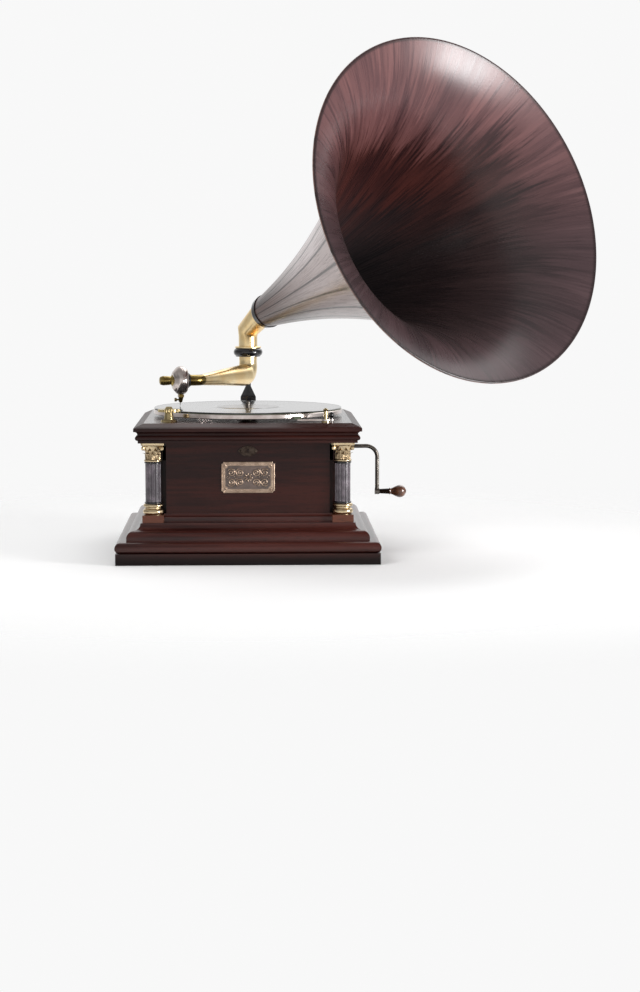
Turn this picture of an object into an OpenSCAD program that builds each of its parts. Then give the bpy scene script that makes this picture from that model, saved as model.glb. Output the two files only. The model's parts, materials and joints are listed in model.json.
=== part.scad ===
// Table gramophone with a flared wooden horn, a moulded case with corner columns and a spring motor.
// Millimetres. Origin at the centre of the plinth's underside, +Z up, the front faces -Y.

/* [Case] */
// Distance across the case, panel face to panel face
case_w = 292; // [264:1:320]
// Height of the case walls
wall_h = 123; // [116:1:150]
// Thickness of the walls
wall_t = 14; // [10:1:15]
// Side of the square notch at each corner
notch = 20; // [19.5:0.5:23]
// Height of the moulding along the foot of each wall
skirting_h = 13; // [8:0.5:20]
// Thickness of the base board
base_board_t = 10; // [6:1:14]

/* [Plinth] */
// How far the foot stands out from the wall face
foot_out = 56; // [50:1:64]
// Height of the plain fascia at the foot
fascia_h = 17; // [12:1:24]
// Radius of the half-round bead
bead_r = 8.5; // [6:0.5:10]
// How far the fillet above the bead stands out
fillet_out = 40; // [39:0.5:44]
// Height of the fillet
fillet_h = 5; // [3:0.5:8]
// Radius of both arcs of the ogee
ogee_r = 10.5; // [8:0.5:10.5]

/* [Columns] */
// Side of the square block under each column
block_w = 32.6; // [30:0.1:36]
// Height of the block
block_h = 11.5; // [8:0.5:20]
// Diameter of the fluted shaft
shaft_d = 23.8; // [18:0.2:26]
// Number of flutes
flutes = 12; // [8:1:16]
// Radius of one flute
flute_r = 2.1; // [1:0.1:2.4]
// Height of the turned base
col_base_h = 17; // [12:0.5:20]
// Height of the capital
capital_h = 29.5; // [26:0.5:34]
// Side of the abacus on top of the capital
abacus_w = 37.8; // [35:0.2:38.6]

/* [Lid] */
// How far the lid's lower edge stands out from the wall face
lid_out = 22; // [20:0.5:26]
// Height of the lid's lower fascia
lid_fascia_h = 4; // [2:0.5:8]
// Radius of the lid's bead
lid_bead_r = 4; // [2:0.5:5]
// Radius of the lid's cove
lid_cove_r = 6; // [4:0.5:6.5]
// Thickness of the lid's flange
lid_flange_t = 5; // [3:0.5:8]
// Height of the bevel above the flange
lid_bevel_h = 7; // [4:0.5:10]
// How far the top edge stands out from the wall face
lid_top_out = 13.5; // [8:0.5:18]
// Thickness of the motor board
board_t = 11; // [8:1:14]
// Length of one hinge leaf
hinge_l = 44; // [30:1:60]

/* [Front fittings] */
// Width of the name plate
plate_w = 82; // [60:1:100]
// Height of the name plate
plate_h = 48; // [36:1:56]
// Radius of the hollowed corners of the name plate
plate_corner_r = 6; // [3:0.5:8]
// Distance of the name plate's middle below the top of the wall
plate_drop = 54.5; // [50:0.5:64]
// Width of the oval lock plate
lock_w = 30; // [22:1:40]
// Height of the oval lock plate
lock_h = 16; // [12:1:20]

/* [Turntable] */
// How far the turntable's rim reaches out past the case walls
platter_out = 5; // [0:1:8]
// Height of the turntable's rim
rim_h = 7; // [6:0.5:12]
// Gap between the lid and the rim
platter_gap = 5; // [4.5:0.5:7]
// Thickness of the felt
felt_t = 1; // [0.5:0.25:2]
// How far the record's edge lies in from the turntable's rim
record_in = 1; // [0:0.5:20]
// Thickness of the record
record_t = 2; // [1.5:0.25:3]
// Radius of the spindle where the record sits
spindle_r = 3.5; // [3:0.1:3.6]

/* [Winding crank] */
// Radius of the crank rod
rod_r = 3.25; // [3:0.25:4]
// Distance from the wall face to the crank's upright rod
crank_reach = 62; // [56:1:80]
// Radius of the bend in the rod
crank_bend_r = 18; // [12:1:24]
// Distance from the winding axis down to the grip
crank_throw = 73.5; // [50:0.5:78]
// Length of the wooden grip
grip_l = 29; // [24:1:40]
// Largest radius of the grip
grip_r = 10; // [8:0.2:12]

/* [Bracket and tone arm] */
// Distance of the arm's pivot behind the spindle
pivot_y = 200; // [194:1:212]
// Height of the ring above the lid
ring_up = 87; // [80:1:100]
// Outer radius of the ring
ring_r = 24.5; // [23:0.5:28]
// Height of the ring
ring_h = 14.5; // [12:0.5:20]
// Radius of the arm at its pivot
arm_r = 15; // [13:0.5:16]
// Radius of the arm at its tip
arm_tip_r = 7.3; // [6.8:0.1:9]
// Wall of the arm and the elbow
tube_wall = 1.2; // [0.8:0.1:1.5]
// Distance from the pivot to the arm's tip, in plan
arm_len = 180.5; // [170:0.5:190]
// Radius of the arm's bend below the ring
arm_bend_r = 17; // [17:0.5:22]
// How far the tip lies above the bend
arm_rise = 4.5; // [0:0.5:8]
// Heading of the arm in plan, anticlockwise from +X
arm_heading = 245.4; // [240:0.2:255]
// Radius of the crook's bend
crook_bend_r = 18; // [14:1:30]
// Angle through which the crook turns
crook_turn = 50.4; // [40:0.2:60]
// Radius of the sound box
box_r = 23; // [20:0.5:28]
// Length of the boss on the sound box
boss_l = 21; // [12:1:28]
// Angle at which the needle leans
needle_lean = 25; // [10:1:35]

/* [Horn] */
// Radius of the horn at its mouth
mouth_r = 270; // [220:1:290]
// Radius of the horn at its small end
throat_r = 25.5; // [25:0.5:30]
// Length of the horn along its axis
horn_len = 520; // [460:1:560]
// Thickness of the horn's wood
horn_wall = 4; // [3:0.25:6]
// Number of staves in the bell's wall
staves = 8; // [6:2:12]
// Width of the glue line between two staves
glue_line = 0.1; // [0.05:0.05:0.3]
// Share of the radius that the lip adds at the mouth
lip_flare = 60; // [30:1:80]
// Heading of the horn in plan, anticlockwise from +X
horn_heading = -54.4; // [-70:0.2:-40]
// Angle of the horn above the level
horn_tilt = 18.1; // [12:0.1:30]
// Radius of the elbow at the ring
elbow_r = 15.7; // [14:0.1:17]
// Height of the elbow's mitre above its foot
elbow_upright = 27.5; // [22:0.5:36]
// Distance from the pivot to the horn's small end, in plan
horn_reach = 49; // [44:0.5:60]
// Height of the horn's small end above the elbow's mitre
horn_rise = 30.5; // [24:0.5:40]

/* [Motor] */
// Thickness of the motor plates
plate_t = 5; // [4:0.5:8]
// Distance of the winding axis below the motor plate
crank_drop = 33; // [32:0.5:36]
// Distance of the governor's axis below the motor plate
governor_drop = 19; // [18.5:0.5:20]
// Radius of the spring barrel
barrel_r = 42; // [36:0.5:44]
// Height of the spring barrel
barrel_h = 36; // [30:1:42]
// Thickness of the toothed wheels
wheel_t = 5; // [4:0.5:6]
// Tooth module of the great wheel and spindle pinion
drive_module = 1.25; // [1.1:0.05:1.3]
// Teeth of the great wheel
great_teeth = 80; // [70:2:84]
// Teeth of the spindle pinion
pinion_teeth = 12; // [12:1:14]
// Tooth module of the winding wheels
wind_module = 1.5; // [1.25:0.05:1.6]
// Teeth of the crown winding wheel
crown_teeth = 48; // [44:4:52]
// Teeth of the winding pinion
wind_teeth = 12; // [12:1:13]
// Tooth module of the governor wheel and worm
worm_module = 0.8; // [0.7:0.05:0.85]
// Teeth of the governor wheel
worm_wheel_teeth = 60; // [52:4:64]
// Threads of the governor worm
worm_starts = 4; // [3:1:5]
// Pitch radius of the governor worm
worm_r = 5; // [4.5:0.1:5.5]

/* [Hidden] */
$fn = 64;

// Clearances
run = 0.06;
fit = 0.02;
gap = 0.3;
mitre_gap = 0.1;
slack = 0.2;
tooth_share = 0.4;

// Heights
hw = case_w / 2;
z_plinth = fascia_h + 2 * bead_r + fillet_h + 2 * ogee_r;
z_wall = z_plinth + wall_h;
lid_h = lid_fascia_h + 2 * lid_bead_r + lid_cove_r + lid_flange_t + lid_bevel_h;
z_lid = z_wall + lid_h;
z_board = z_lid - board_t;
z_motor = z_board - plate_t;
z_crank = z_motor - crank_drop;
z_governor = z_motor - governor_drop;
z_ring = z_lid + ring_up;
inner = hw - wall_t;
platter_r = hw + platter_out;
record_r = platter_r - record_in;
frame_inner = inner - 2;

// Motor layout
cover_t = 2;
worm_face = 4;
arbor_r = 5;
barrel_x = drive_module * (great_teeth + pinion_teeth) / 2;
crown_r = wind_module * crown_teeth / 2;
wind_r = wind_module * wind_teeth / 2;
z_crown = z_crank - wind_r - 1.15 * wind_module - wheel_t;
z_cover = z_crown - 2;
z_barrel = z_cover - barrel_h;
z_great = z_barrel - wheel_t;
z_lower = z_great - 3 - plate_t;
governor_x = -(worm_module * worm_wheel_teeth / 2 + worm_r);

// Materials' display colours
MAHOGANY = [0.22, 0.10, 0.08];
RED_MAHOGANY = [0.33, 0.14, 0.10];
GILT = [0.86, 0.72, 0.42];
GOLD = [0.90, 0.76, 0.48];
BLACK = [0.06, 0.06, 0.07];
NICKEL = [0.75, 0.74, 0.72];
STEEL = [0.50, 0.51, 0.53];
BRASS = [0.72, 0.62, 0.32];
FELT = [0.48, 0.50, 0.44];
IRON = [0.28, 0.29, 0.30];

// Repeats the children at the four corners of a square
module at_corners(half) {
    for (x = [-1, 1], y = [-1, 1]) translate([x * half, y * half, 0]) children();
}

// Four mitred lengths of a moulding whose profile is drawn as outward distance and height
module mitred_frame(reach) {
    big = 4 * reach;
    for (turn = [0 : 90 : 270]) rotate(turn) intersection() {
        rotate([90, 0, 90]) linear_extrude(big, center = true) children();
        translate([0, mitre_gap, -big / 2]) linear_extrude(big)
            polygon([[0, 0], [reach, reach], [-reach, reach]]);
    }
}

// Plinth
module plinth_profile() {
    bead_x = hw + foot_out + 1 - bead_r;
    top_x = hw + fillet_out - 2 * ogee_r;
    fillet_x = hw + fillet_out;
    z_bead = fascia_h + bead_r;
    z_fillet = fascia_h + 2 * bead_r;
    z_ogee = z_fillet + fillet_h;
    translate([frame_inner, 0]) square([hw + foot_out - frame_inner, fascia_h]);
    translate([frame_inner, fascia_h]) square([bead_x - frame_inner, 2 * bead_r]);
    translate([bead_x, z_bead]) circle(bead_r);
    translate([frame_inner, z_fillet]) square([fillet_x - frame_inner, fillet_h]);
    translate([frame_inner, z_ogee]) square([fillet_x - ogee_r - frame_inner, ogee_r]);
    translate([fillet_x - ogee_r, z_ogee]) intersection() {
        circle(ogee_r);
        square(ogee_r);
    }
    translate([frame_inner, z_ogee + ogee_r]) difference() {
        square([top_x + ogee_r - frame_inner, ogee_r]);
        translate([top_x + ogee_r - frame_inner, ogee_r]) circle(ogee_r);
    }
}

skirting_out = 7;

module skirting_profile() {
    lip = 2;
    difference() {
        square([skirting_out, skirting_h]);
        translate([skirting_out, skirting_h]) circle(skirting_out - lip);
        translate([lip, skirting_h]) square([skirting_out, 1]);
    }
}

module plinth() {
    run_l = case_w - block_w - 2 * slack;
    color(RED_MAHOGANY) {
        mitred_frame(hw + foot_out + 20) plinth_profile();
        for (turn = [0 : 90 : 270]) rotate(turn) translate([-run_l / 2, hw, z_plinth]) rotate([90, 0, 90])
            linear_extrude(run_l) skirting_profile();
    }
}

module base_board() {
    side = 2 * (frame_inner - slack);
    color(MAHOGANY) translate([-side / 2, -side / 2, 0]) cube([side, side, base_board_t]);
}

// Case walls
module panel(turn) {
    w = case_w - 2 * notch;
    rotate(turn) translate([-w / 2, -hw, z_plinth]) cube([w, wall_t, wall_h]);
}

module front_panel() {
    color(MAHOGANY) panel(0);
}

module back_panel() {
    color(MAHOGANY) panel(180);
}

module left_panel() {
    color(MAHOGANY) panel(-90);
}

module right_panel() {
    color(MAHOGANY) difference() {
        panel(90);
        translate([inner - 1, 0, z_crank]) rotate([0, 90, 0]) cylinder(r = bush_r + fit, h = wall_t + 2);
    }
}

post_short = 30;

module corner_posts() {
    low = inner - 20;
    mid = hw - notch;
    color(MAHOGANY) for (turn = [0 : 90 : 270]) rotate(turn) translate([0, 0, z_plinth])
        linear_extrude(wall_h - post_short)
            polygon([[low, low], [inner, low], [inner, mid], [mid, mid], [mid, inner], [low, inner]]);
}

// Columns
z_base = z_plinth + block_h;
z_shaft = z_base + col_base_h;
z_capital = z_wall - capital_h;

module column_blocks() {
    color(RED_MAHOGANY) at_corners(hw) translate([0, 0, z_plinth + block_h / 2])
        cube([block_w, block_w, block_h], center = true);
}

// A turned base: wide torus, scotia and a narrow torus under the shaft
module column_bases() {
    torus_r = 0.29 * col_base_h;
    ring_r2 = 0.15 * col_base_h;
    core = shaft_d / 2 + 0.6;
    color(GILT) at_corners(hw) translate([0, 0, z_base]) rotate_extrude() intersection() {
        square([block_w / 2, col_base_h]);
        union() {
            square([core, col_base_h]);
            translate([block_w / 2 - torus_r - 0.2, torus_r]) circle(torus_r);
            square([block_w / 2 - torus_r - 0.2, 2 * torus_r]);
            translate([core + 0.4, col_base_h - ring_r2]) circle(ring_r2);
        }
    }
}

module column_shafts() {
    flute_at = shaft_d / 2 + flute_r * 0.35;
    color(BLACK) at_corners(hw) translate([0, 0, z_shaft]) linear_extrude(z_capital - z_shaft)
        difference() {
            circle(d = shaft_d);
            for (i = [0 : flutes - 1]) rotate((i + 0.5) * 360 / flutes) translate([flute_at, 0])
                circle(flute_r);
        }
}

// One ring of eight leaves: an upright wall of lobes and a wider lip where the tips curl over
module leaf_tier(r, h, lip, phase) {
    curl_h = 2;
    for (part = [[0, h - curl_h, r, r * 0.30], [h - curl_h, curl_h, r + lip, r * 0.24]]) {
        lobe_at = part[2] - part[3] / 2;
        translate([0, 0, part[0]]) linear_extrude(part[1]) {
            circle(lobe_at);
            for (i = [0 : 7]) rotate(45 * (i + phase)) translate([lobe_at, 0]) circle(part[3]);
        }
    }
}

module column_capitals() {
    abacus_t = 4.5;
    neck_h = 4;
    tier_h = (capital_h - abacus_t - neck_h) / 2;
    color(GILT) at_corners(hw) translate([0, 0, z_capital]) {
        rotate_extrude() intersection() {
            square([shaft_d, neck_h]);
            union() {
                square([shaft_d / 2, neck_h]);
                translate([shaft_d / 2, neck_h / 2]) circle(neck_h / 2);
            }
        }
        translate([0, 0, neck_h]) leaf_tier(shaft_d / 2 - 1.2, tier_h, 1.5, 0);
        translate([0, 0, neck_h + tier_h]) leaf_tier(shaft_d / 2 - 0.2, tier_h, 2.6, 0.5);
        translate([0, 0, capital_h - abacus_t]) linear_extrude(abacus_t) difference() {
            square(abacus_w, center = true);
            for (turn = [0 : 90 : 270]) rotate(turn) translate([2.12 * abacus_w, 0])
                circle(1.68 * abacus_w, $fn = 128);
        }
    }
}

// Lid
module lid_profile() {
    edge = hw + lid_out;
    flange = edge + lid_cove_r + 0.5;
    z_bead = lid_fascia_h + lid_bead_r;
    z_cove = lid_fascia_h + 2 * lid_bead_r;
    z_flange = z_cove + lid_cove_r;
    z_bevel = z_flange + lid_flange_t;
    translate([frame_inner, 0]) square([edge - frame_inner, z_cove]);
    translate([edge, z_bead]) circle(lid_bead_r);
    translate([frame_inner, z_cove]) difference() {
        square([edge + lid_cove_r - frame_inner, lid_cove_r]);
        translate([edge + lid_cove_r - frame_inner, 0]) circle(lid_cove_r);
    }
    translate([frame_inner, z_flange]) square([flange - frame_inner, lid_flange_t]);
    polygon([
        [frame_inner, z_bevel], [flange, z_bevel], [flange - 3, z_bevel + 0.25 * lid_bevel_h],
        [hw + lid_top_out, lid_h], [frame_inner, lid_h]
    ]);
}

module lid_frame() {
    color(MAHOGANY) translate([0, 0, z_wall]) mitred_frame(hw + lid_out + lid_cove_r + 20) lid_profile();
}

module motor_board() {
    side = 2 * (frame_inner - slack);
    color(MAHOGANY) difference() {
        translate([-side / 2, -side / 2, z_board]) cube([side, side, board_t]);
        translate([0, 0, z_board - 1]) cylinder(r = spindle_r + 5.5, h = board_t + 2);
        translate([regulator_x, regulator_y, z_board - 1]) cylinder(r = regulator_r + run, h = board_t + 2);
    }
}

// Butt hinges on the back, half on the wall and half on the lid
hinge_x = 80;
leaf_t = 2;
leaf_h = 12;
knuckle_r = 3;
hinge_pin_r = 1.5;

module hinge_knuckle(from, length) {
    translate([from, knuckle_r, -knuckle_r]) rotate([0, 90, 0]) difference() {
        cylinder(r = knuckle_r, h = length);
        translate([0, 0, -1]) cylinder(r = hinge_pin_r + fit, h = length + 2);
    }
}

module lid_hinges() {
    step = hinge_l / 5;
    color(BRASS) for (x = [-hinge_x, hinge_x]) translate([x - hinge_l / 2, hw, z_wall]) {
        difference() {
            translate([0, 0, -leaf_h - knuckle_r]) cube([hinge_l, leaf_t, leaf_h + knuckle_r]);
            for (i = [1, 3]) translate([i * step - mitre_gap, -1, -2 * knuckle_r - mitre_gap])
                cube([step + 2 * mitre_gap, leaf_t + 2, 2 * knuckle_r + 1]);
            translate([-1, knuckle_r, -knuckle_r]) rotate([0, 90, 0])
                cylinder(r = hinge_pin_r + fit, h = hinge_l + 2);
        }
        for (i = [0, 2, 4]) hinge_knuckle(i * step, step);
        difference() {
            translate([0, knuckle_r, -leaf_t]) cube([hinge_l, leaf_h, leaf_t]);
            for (i = [0, 2, 4]) translate([i * step - mitre_gap, 0, -leaf_t - 1])
                cube([step + 2 * mitre_gap, 2 * knuckle_r + mitre_gap, leaf_t + 2]);
        }
        for (i = [1, 3]) hinge_knuckle(i * step + mitre_gap, step - 2 * mitre_gap);
    }
    color(STEEL) for (x = [-hinge_x, hinge_x])
        translate([x - hinge_l / 2, hw + knuckle_r, z_wall - knuckle_r]) rotate([0, 90, 0])
            cylinder(r = hinge_pin_r, h = hinge_l);
}

// Front fittings
plate_metal = 1.2;
pin_in = 6;

module plate_outline(grow) {
    difference() {
        square([plate_w + 2 * grow, plate_h + 2 * grow], center = true);
        for (x = [-1, 1], y = [-1, 1]) translate([x * (plate_w / 2 + grow), y * (plate_h / 2 + grow)])
            circle(plate_corner_r / 2);
    }
}

module at_plate_pins() {
    for (x = [-1, 1], y = [-1, 1]) translate([x * (plate_w / 2 - pin_in), y * (plate_h / 2 - pin_in), 0])
        children();
}

module name_plate() {
    z = z_wall - plate_drop;
    pin_r = 1;
    rim_w = 2.5;
    rim_up = 0.6;
    color(BRASS) translate([0, -hw, z]) rotate([90, 0, 0]) difference() {
        union() {
            linear_extrude(plate_metal) plate_outline(0);
            linear_extrude(plate_metal + rim_up) difference() {
                plate_outline(0);
                plate_outline(-rim_w);
            }
        }
        at_plate_pins() translate([0, 0, -1]) cylinder(r = pin_r + fit, h = plate_metal + 3);
    }
    color(BRASS) translate([0, -hw, z]) rotate([90, 0, 0]) at_plate_pins() {
        cylinder(r = pin_r, h = plate_metal);
        translate([0, 0, plate_metal]) cylinder(r1 = 1.8 * pin_r, r2 = pin_r, h = 0.8 * pin_r);
    }
}

module lock_plate() {
    r = lock_h / 2;
    lock_drop = 14;
    lock_metal = 1.4;
    arc_at = (lock_w * lock_w / lock_h - lock_h) / 4;
    arc_r = arc_at + r;
    color(BRASS) translate([0, -hw, z_wall - lock_drop]) rotate([90, 0, 0]) linear_extrude(lock_metal)
        difference() {
            intersection() {
                translate([0, -arc_at]) circle(arc_r);
                translate([0, arc_at]) circle(arc_r);
            }
            translate([0, r / 4]) circle(r / 5);
            translate([-r / 10, -r / 2.5]) square([r / 5, r / 1.6]);
        }
}

// Turntable
z_rim = z_lid + platter_gap;
z_felt = z_rim + rim_h;
z_record = z_felt + felt_t;
z_play = z_record + record_t;
hub_r = 14;
web_t = 3.5;
rim_t = 4;

module platter() {
    edge = 0.8;
    color(NICKEL) translate([0, 0, z_rim]) rotate_extrude($fn = 128) polygon([
        [spindle_r + run, 0], [hub_r, 0], [hub_r + 2, rim_h - web_t], [platter_r - rim_t, rim_h - web_t],
        [platter_r - rim_t, 0], [platter_r - edge, 0], [platter_r, edge], [platter_r, rim_h - edge],
        [platter_r - edge, rim_h], [spindle_r + run, rim_h]
    ]);
}

module pierced_disc(r, t) {
    difference() {
        cylinder(r = r, h = t, $fn = 128);
        translate([0, 0, -1]) cylinder(r = spindle_r + run, h = t + 2);
    }
}

module platter_felt() {
    color(FELT) translate([0, 0, z_felt]) pierced_disc(platter_r - 2, felt_t);
}

module record() {
    color(BLACK) translate([0, 0, z_record]) pierced_disc(record_r, record_t);
}

// The spindle: lower journal, square for the pinion, shaft, shoulder, square for the wheel, upper shaft
journal_r = 2.35;
pinion_square = 4.8;
wheel_square = 2 * spindle_r;
pinion_l = wheel_t + 3;
z_pinion = z_great - 1.5;
z_wheel = z_governor - worm_face / 2;
record_pin = 8;

module spindle() {
    shoulder_r = spindle_r * 1.45;
    shoulder_h = 4;
    shank_r = 4;
    nose_h = 1.5;
    seat_h = 2;
    z_shank = z_pinion + pinion_l;
    z_shoulder = z_wheel - shoulder_h;
    z_upper = z_wheel + worm_face;
    z_nose = z_play + record_pin - nose_h;
    color(STEEL) {
        translate([0, 0, z_lower]) cylinder(r = journal_r, h = z_pinion - z_lower);
        translate([0, 0, z_pinion]) linear_extrude(pinion_l) square(pinion_square, center = true);
        translate([0, 0, z_shank]) cylinder(r = shank_r, h = z_shoulder - z_shank);
        translate([0, 0, z_shoulder]) cylinder(r = shoulder_r, h = shoulder_h);
        translate([0, 0, z_wheel]) linear_extrude(worm_face) square(wheel_square, center = true);
        translate([0, 0, z_upper]) cylinder(r = spindle_r, h = z_nose - z_upper);
        translate([0, 0, z_nose]) cylinder(r1 = spindle_r, r2 = spindle_r - 2, h = nose_h);
        translate([0, 0, z_lid - seat_h]) cylinder(r = spindle_r + 3, h = platter_gap + seat_h);
    }
}

// Toothed outline with straight flanks; share is the tooth's share of the pitch
function tooth_points(n, m, share) = let (
    pitch_r = m * n / 2, half = share * PI * m / 2, add = 0.8 * m, ded = 1.15 * m,
    tip_r = pitch_r + add, root_r = pitch_r - ded,
    tip_a = asin((half - add * tan(20)) / tip_r), root_a = asin((half + ded * tan(20)) / root_r)
) [[root_r, -root_a], [tip_r, -tip_a], [tip_r, tip_a], [root_r, root_a]];

function gear_points(n, m, share, phase) = [
    for (i = [0 : n - 1]) for (p = tooth_points(n, m, share))
        let (a = p[1] + (i + phase) * 360 / n) p[0] * [cos(a), sin(a)]
];

module gear(n, m, phase, hole) {
    difference() {
        polygon(gear_points(n, m, tooth_share, phase));
        square(hole + 2 * fit, center = true);
    }
}

module spindle_pinion() {
    color(STEEL) translate([0, 0, z_pinion]) linear_extrude(pinion_l)
        gear(pinion_teeth, drive_module, 0, pinion_square);
}

// Governor worm and its wheel: crossed helical teeth of one hand
worm_lead = worm_starts * PI * worm_module;
worm_l = 10;
worm_wheel_r = worm_module * worm_wheel_teeth / 2;
wheel_twist = -worm_face / (worm_r * 2 * PI) * worm_lead / worm_wheel_r * 180 / PI;

module governor_wheel() {
    color(BRASS) translate([0, 0, z_governor]) difference() {
        rotate(wheel_twist / 2) linear_extrude(worm_face, center = true, twist = wheel_twist, slices = 1)
            polygon(gear_points(worm_wheel_teeth, worm_module, 0.36, 0));
        cube([wheel_square + 2 * fit, wheel_square + 2 * fit, worm_face + 2], center = true);
    }
}

// Motor frame
pillar_r = 5;
pillar_end_r = 2.5;
plate_margin = 10;
motor_clear = 10;
far_x = inner - motor_clear - plate_margin;
pillars = [[-62, 50], [-62, -50], [far_x, 62], [far_x, -62]];

module motor_outline() {
    x0 = pillars[0][0] - plate_margin;
    x1 = pillars[2][0] + plate_margin;
    y1 = pillars[2][1] + plate_margin;
    polygon([[x0, -y1 - 22], [x1 - 20, -y1 - 22], [x1, -y1], [x1, y1], [x0, y1]]);
}

module motor_plate() {
    color(IRON) translate([0, 0, z_motor]) difference() {
        linear_extrude(plate_t) motor_outline();
        translate([0, 0, -1]) cylinder(r = spindle_r + run, h = plate_t + 2);
        translate([barrel_x, 0, -1]) cylinder(r = arbor_r + run, h = plate_t + 2);
        for (p = pillars) translate([p[0], p[1], -1]) cylinder(r = pillar_end_r + fit, h = plate_t + 2);
    }
}

module lower_plate() {
    color(IRON) translate([0, 0, z_lower]) difference() {
        linear_extrude(plate_t) motor_outline();
        translate([0, 0, -1]) cylinder(r = journal_r + run, h = plate_t + 2);
        translate([barrel_x, 0, -1]) cylinder(r = arbor_r + run, h = plate_t + 2);
        for (p = pillars) translate([p[0], p[1], -1]) cylinder(r = pillar_end_r + fit, h = plate_t + 2);
    }
}

module motor_pillars() {
    color(STEEL) for (p = pillars) translate([p[0], p[1], 0]) {
        translate([0, 0, z_lower + plate_t]) cylinder(r = pillar_r, h = z_motor - z_lower - plate_t);
        translate([0, 0, z_motor]) cylinder(r = pillar_end_r, h = plate_t);
        translate([0, 0, z_lower]) cylinder(r = pillar_end_r, h = plate_t);
        translate([0, 0, z_lower - 3]) cylinder(r = 4.5, h = 3);
    }
}

// Spring barrel with its cover, great wheel and coiled mainspring
barrel_wall = 2;

module spring_barrel() {
    color(BRASS) translate([barrel_x, 0, z_barrel]) difference() {
        cylinder(r = barrel_r, h = barrel_h - cover_t, $fn = 96);
        translate([0, 0, barrel_wall]) cylinder(r = barrel_r - barrel_wall, h = barrel_h, $fn = 96);
        translate([0, 0, -1]) cylinder(r = arbor_r + run, h = barrel_h);
    }
    color(BRASS) translate([barrel_x, 0, z_cover - cover_t]) difference() {
        cylinder(r = barrel_r, h = cover_t, $fn = 96);
        translate([0, 0, -1]) cylinder(r = arbor_r + run, h = cover_t + 2);
    }
}

// The mainspring lies coiled against the barrel's wall, its inner end reaching in to the arbor
spring_turns = 7;
spring_steel = 1;
function spring_point(turn, offset) = let (
    outer = barrel_r - barrel_wall - gap - spring_steel, pitch = spring_steel * 2,
    r = turn < spring_turns ? outer - pitch * turn : outer - pitch * spring_turns
        - (turn - spring_turns) * (outer - pitch * spring_turns - arbor_r - gap - spring_steel / 2)
) (r + offset) * [cos(360 * turn), sin(360 * turn)];

module mainspring() {
    steps = 18 * (spring_turns + 1);
    ends = spring_turns + 1;
    h = barrel_h - cover_t - barrel_wall - 2 * gap;
    color(STEEL) translate([barrel_x, 0, z_barrel + barrel_wall + gap]) linear_extrude(h) polygon(concat(
        [for (i = [0 : steps]) spring_point(i * ends / steps, spring_steel / 2)],
        [for (i = [steps : -1 : 0]) spring_point(i * ends / steps, -spring_steel / 2)]
    ));
}

module great_wheel() {
    color(BRASS) translate([barrel_x, 0, z_great]) linear_extrude(wheel_t)
        gear(great_teeth, drive_module, great_teeth % 2 == 0 ? 0.5 : 0, 3 * arbor_r);
}

crown_square = arbor_r * 1.3;

module barrel_arbor() {
    arbor_top = z_board - 0.5;
    color(STEEL) translate([barrel_x, 0, 0]) {
        translate([0, 0, z_lower]) cylinder(r = arbor_r, h = z_crown - z_lower);
        translate([0, 0, z_crown]) linear_extrude(wheel_t) square(crown_square, center = true);
        translate([0, 0, z_crown + wheel_t]) cylinder(r = arbor_r, h = arbor_top - z_crown - wheel_t);
    }
}

// Crown wheel: a flat disc with radial teeth on its upper face
module crown_wheel() {
    crown_face = 5;
    half = tooth_share * PI * wind_module / 2;
    add = 0.8 * wind_module;
    ded = 1.15 * wind_module;
    rim = crown_r + crown_face / 2 + 0.5;
    foot = half + ded * tan(20);
    tip = half - add * tan(20);
    sunk = 1;
    color(BRASS) translate([barrel_x, 0, z_crown]) {
        linear_extrude(wheel_t) difference() {
            polygon([for (i = [0 : crown_teeth - 1]) let (a = i * 360 / crown_teeth) rim * [cos(a), sin(a)]]);
            square(crown_square + 2 * fit, center = true);
        }
        for (i = [0 : crown_teeth - 1]) rotate((i + 0.5) * 360 / crown_teeth)
            translate([crown_r - crown_face / 2, 0, wheel_t]) rotate([90, 0, 90]) linear_extrude(crown_face)
                polygon([
                    [-foot, -sunk], [foot, -sunk], [foot, 0], [tip, ded + add], [-tip, ded + add], [-foot, 0]
                ]);
    }
}

// Winding shaft with its pinion, inner bearing, wrap spring and outer bush
wind_x = barrel_x + crown_r;
pinion_face = 5;
wind_square = 4.4;
bush_r = rod_r + 3;
bearing_x = wind_x + 8;
bearing_l = 6;

module winding_shaft() {
    end = wind_x - pinion_face / 2;
    color(STEEL) translate([0, 0, z_crank]) rotate([0, 90, 0]) {
        translate([0, 0, end - 1]) cylinder(r = wind_square / 2 - 0.2, h = 1);
        translate([-wind_square / 2, -wind_square / 2, end]) cube([wind_square, wind_square, pinion_face]);
        translate([0, 0, end + pinion_face]) cylinder(r = rod_r, h = hw + 4 - end - pinion_face);
    }
}

module winding_pinion() {
    color(STEEL) translate([wind_x - pinion_face / 2, 0, z_crank]) rotate([0, 90, 0])
        linear_extrude(pinion_face) gear(wind_teeth, wind_module, 0, wind_square);
}

module winding_hanger() {
    half = rod_r + 5;
    difference() {
        translate([bearing_x, -half, z_crank - half]) cube([bearing_l, 2 * half, z_motor - z_crank + half]);
        translate([bearing_x - 1, 0, z_crank]) rotate([0, 90, 0])
            cylinder(r = rod_r + run, h = bearing_l + 2);
    }
}

// Close-wound spring that grips the winding shaft and keeps it from running back,
// with as many turns as lie between the bearing and the bush
wrap_most = 6;
wrap_wire = 0.8;
wrap_pitch = 2.4;
wrap_room = inner - bearing_x - bearing_l - 2 * wrap_wire - gap;
wrap_turns = min(wrap_most, floor(wrap_room / wrap_pitch));
wrap_sides = 6;
wrap_rings = 12;
function wrap_point(i, k) = let (
    a = 360 * i / wrap_rings, b = 360 * k / wrap_sides, coil_r = rod_r + gap + wrap_wire,
    r = coil_r + wrap_wire * cos(b)
) [wrap_pitch * i / wrap_rings + wrap_wire * sin(b), r * cos(a), r * sin(a)];

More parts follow.
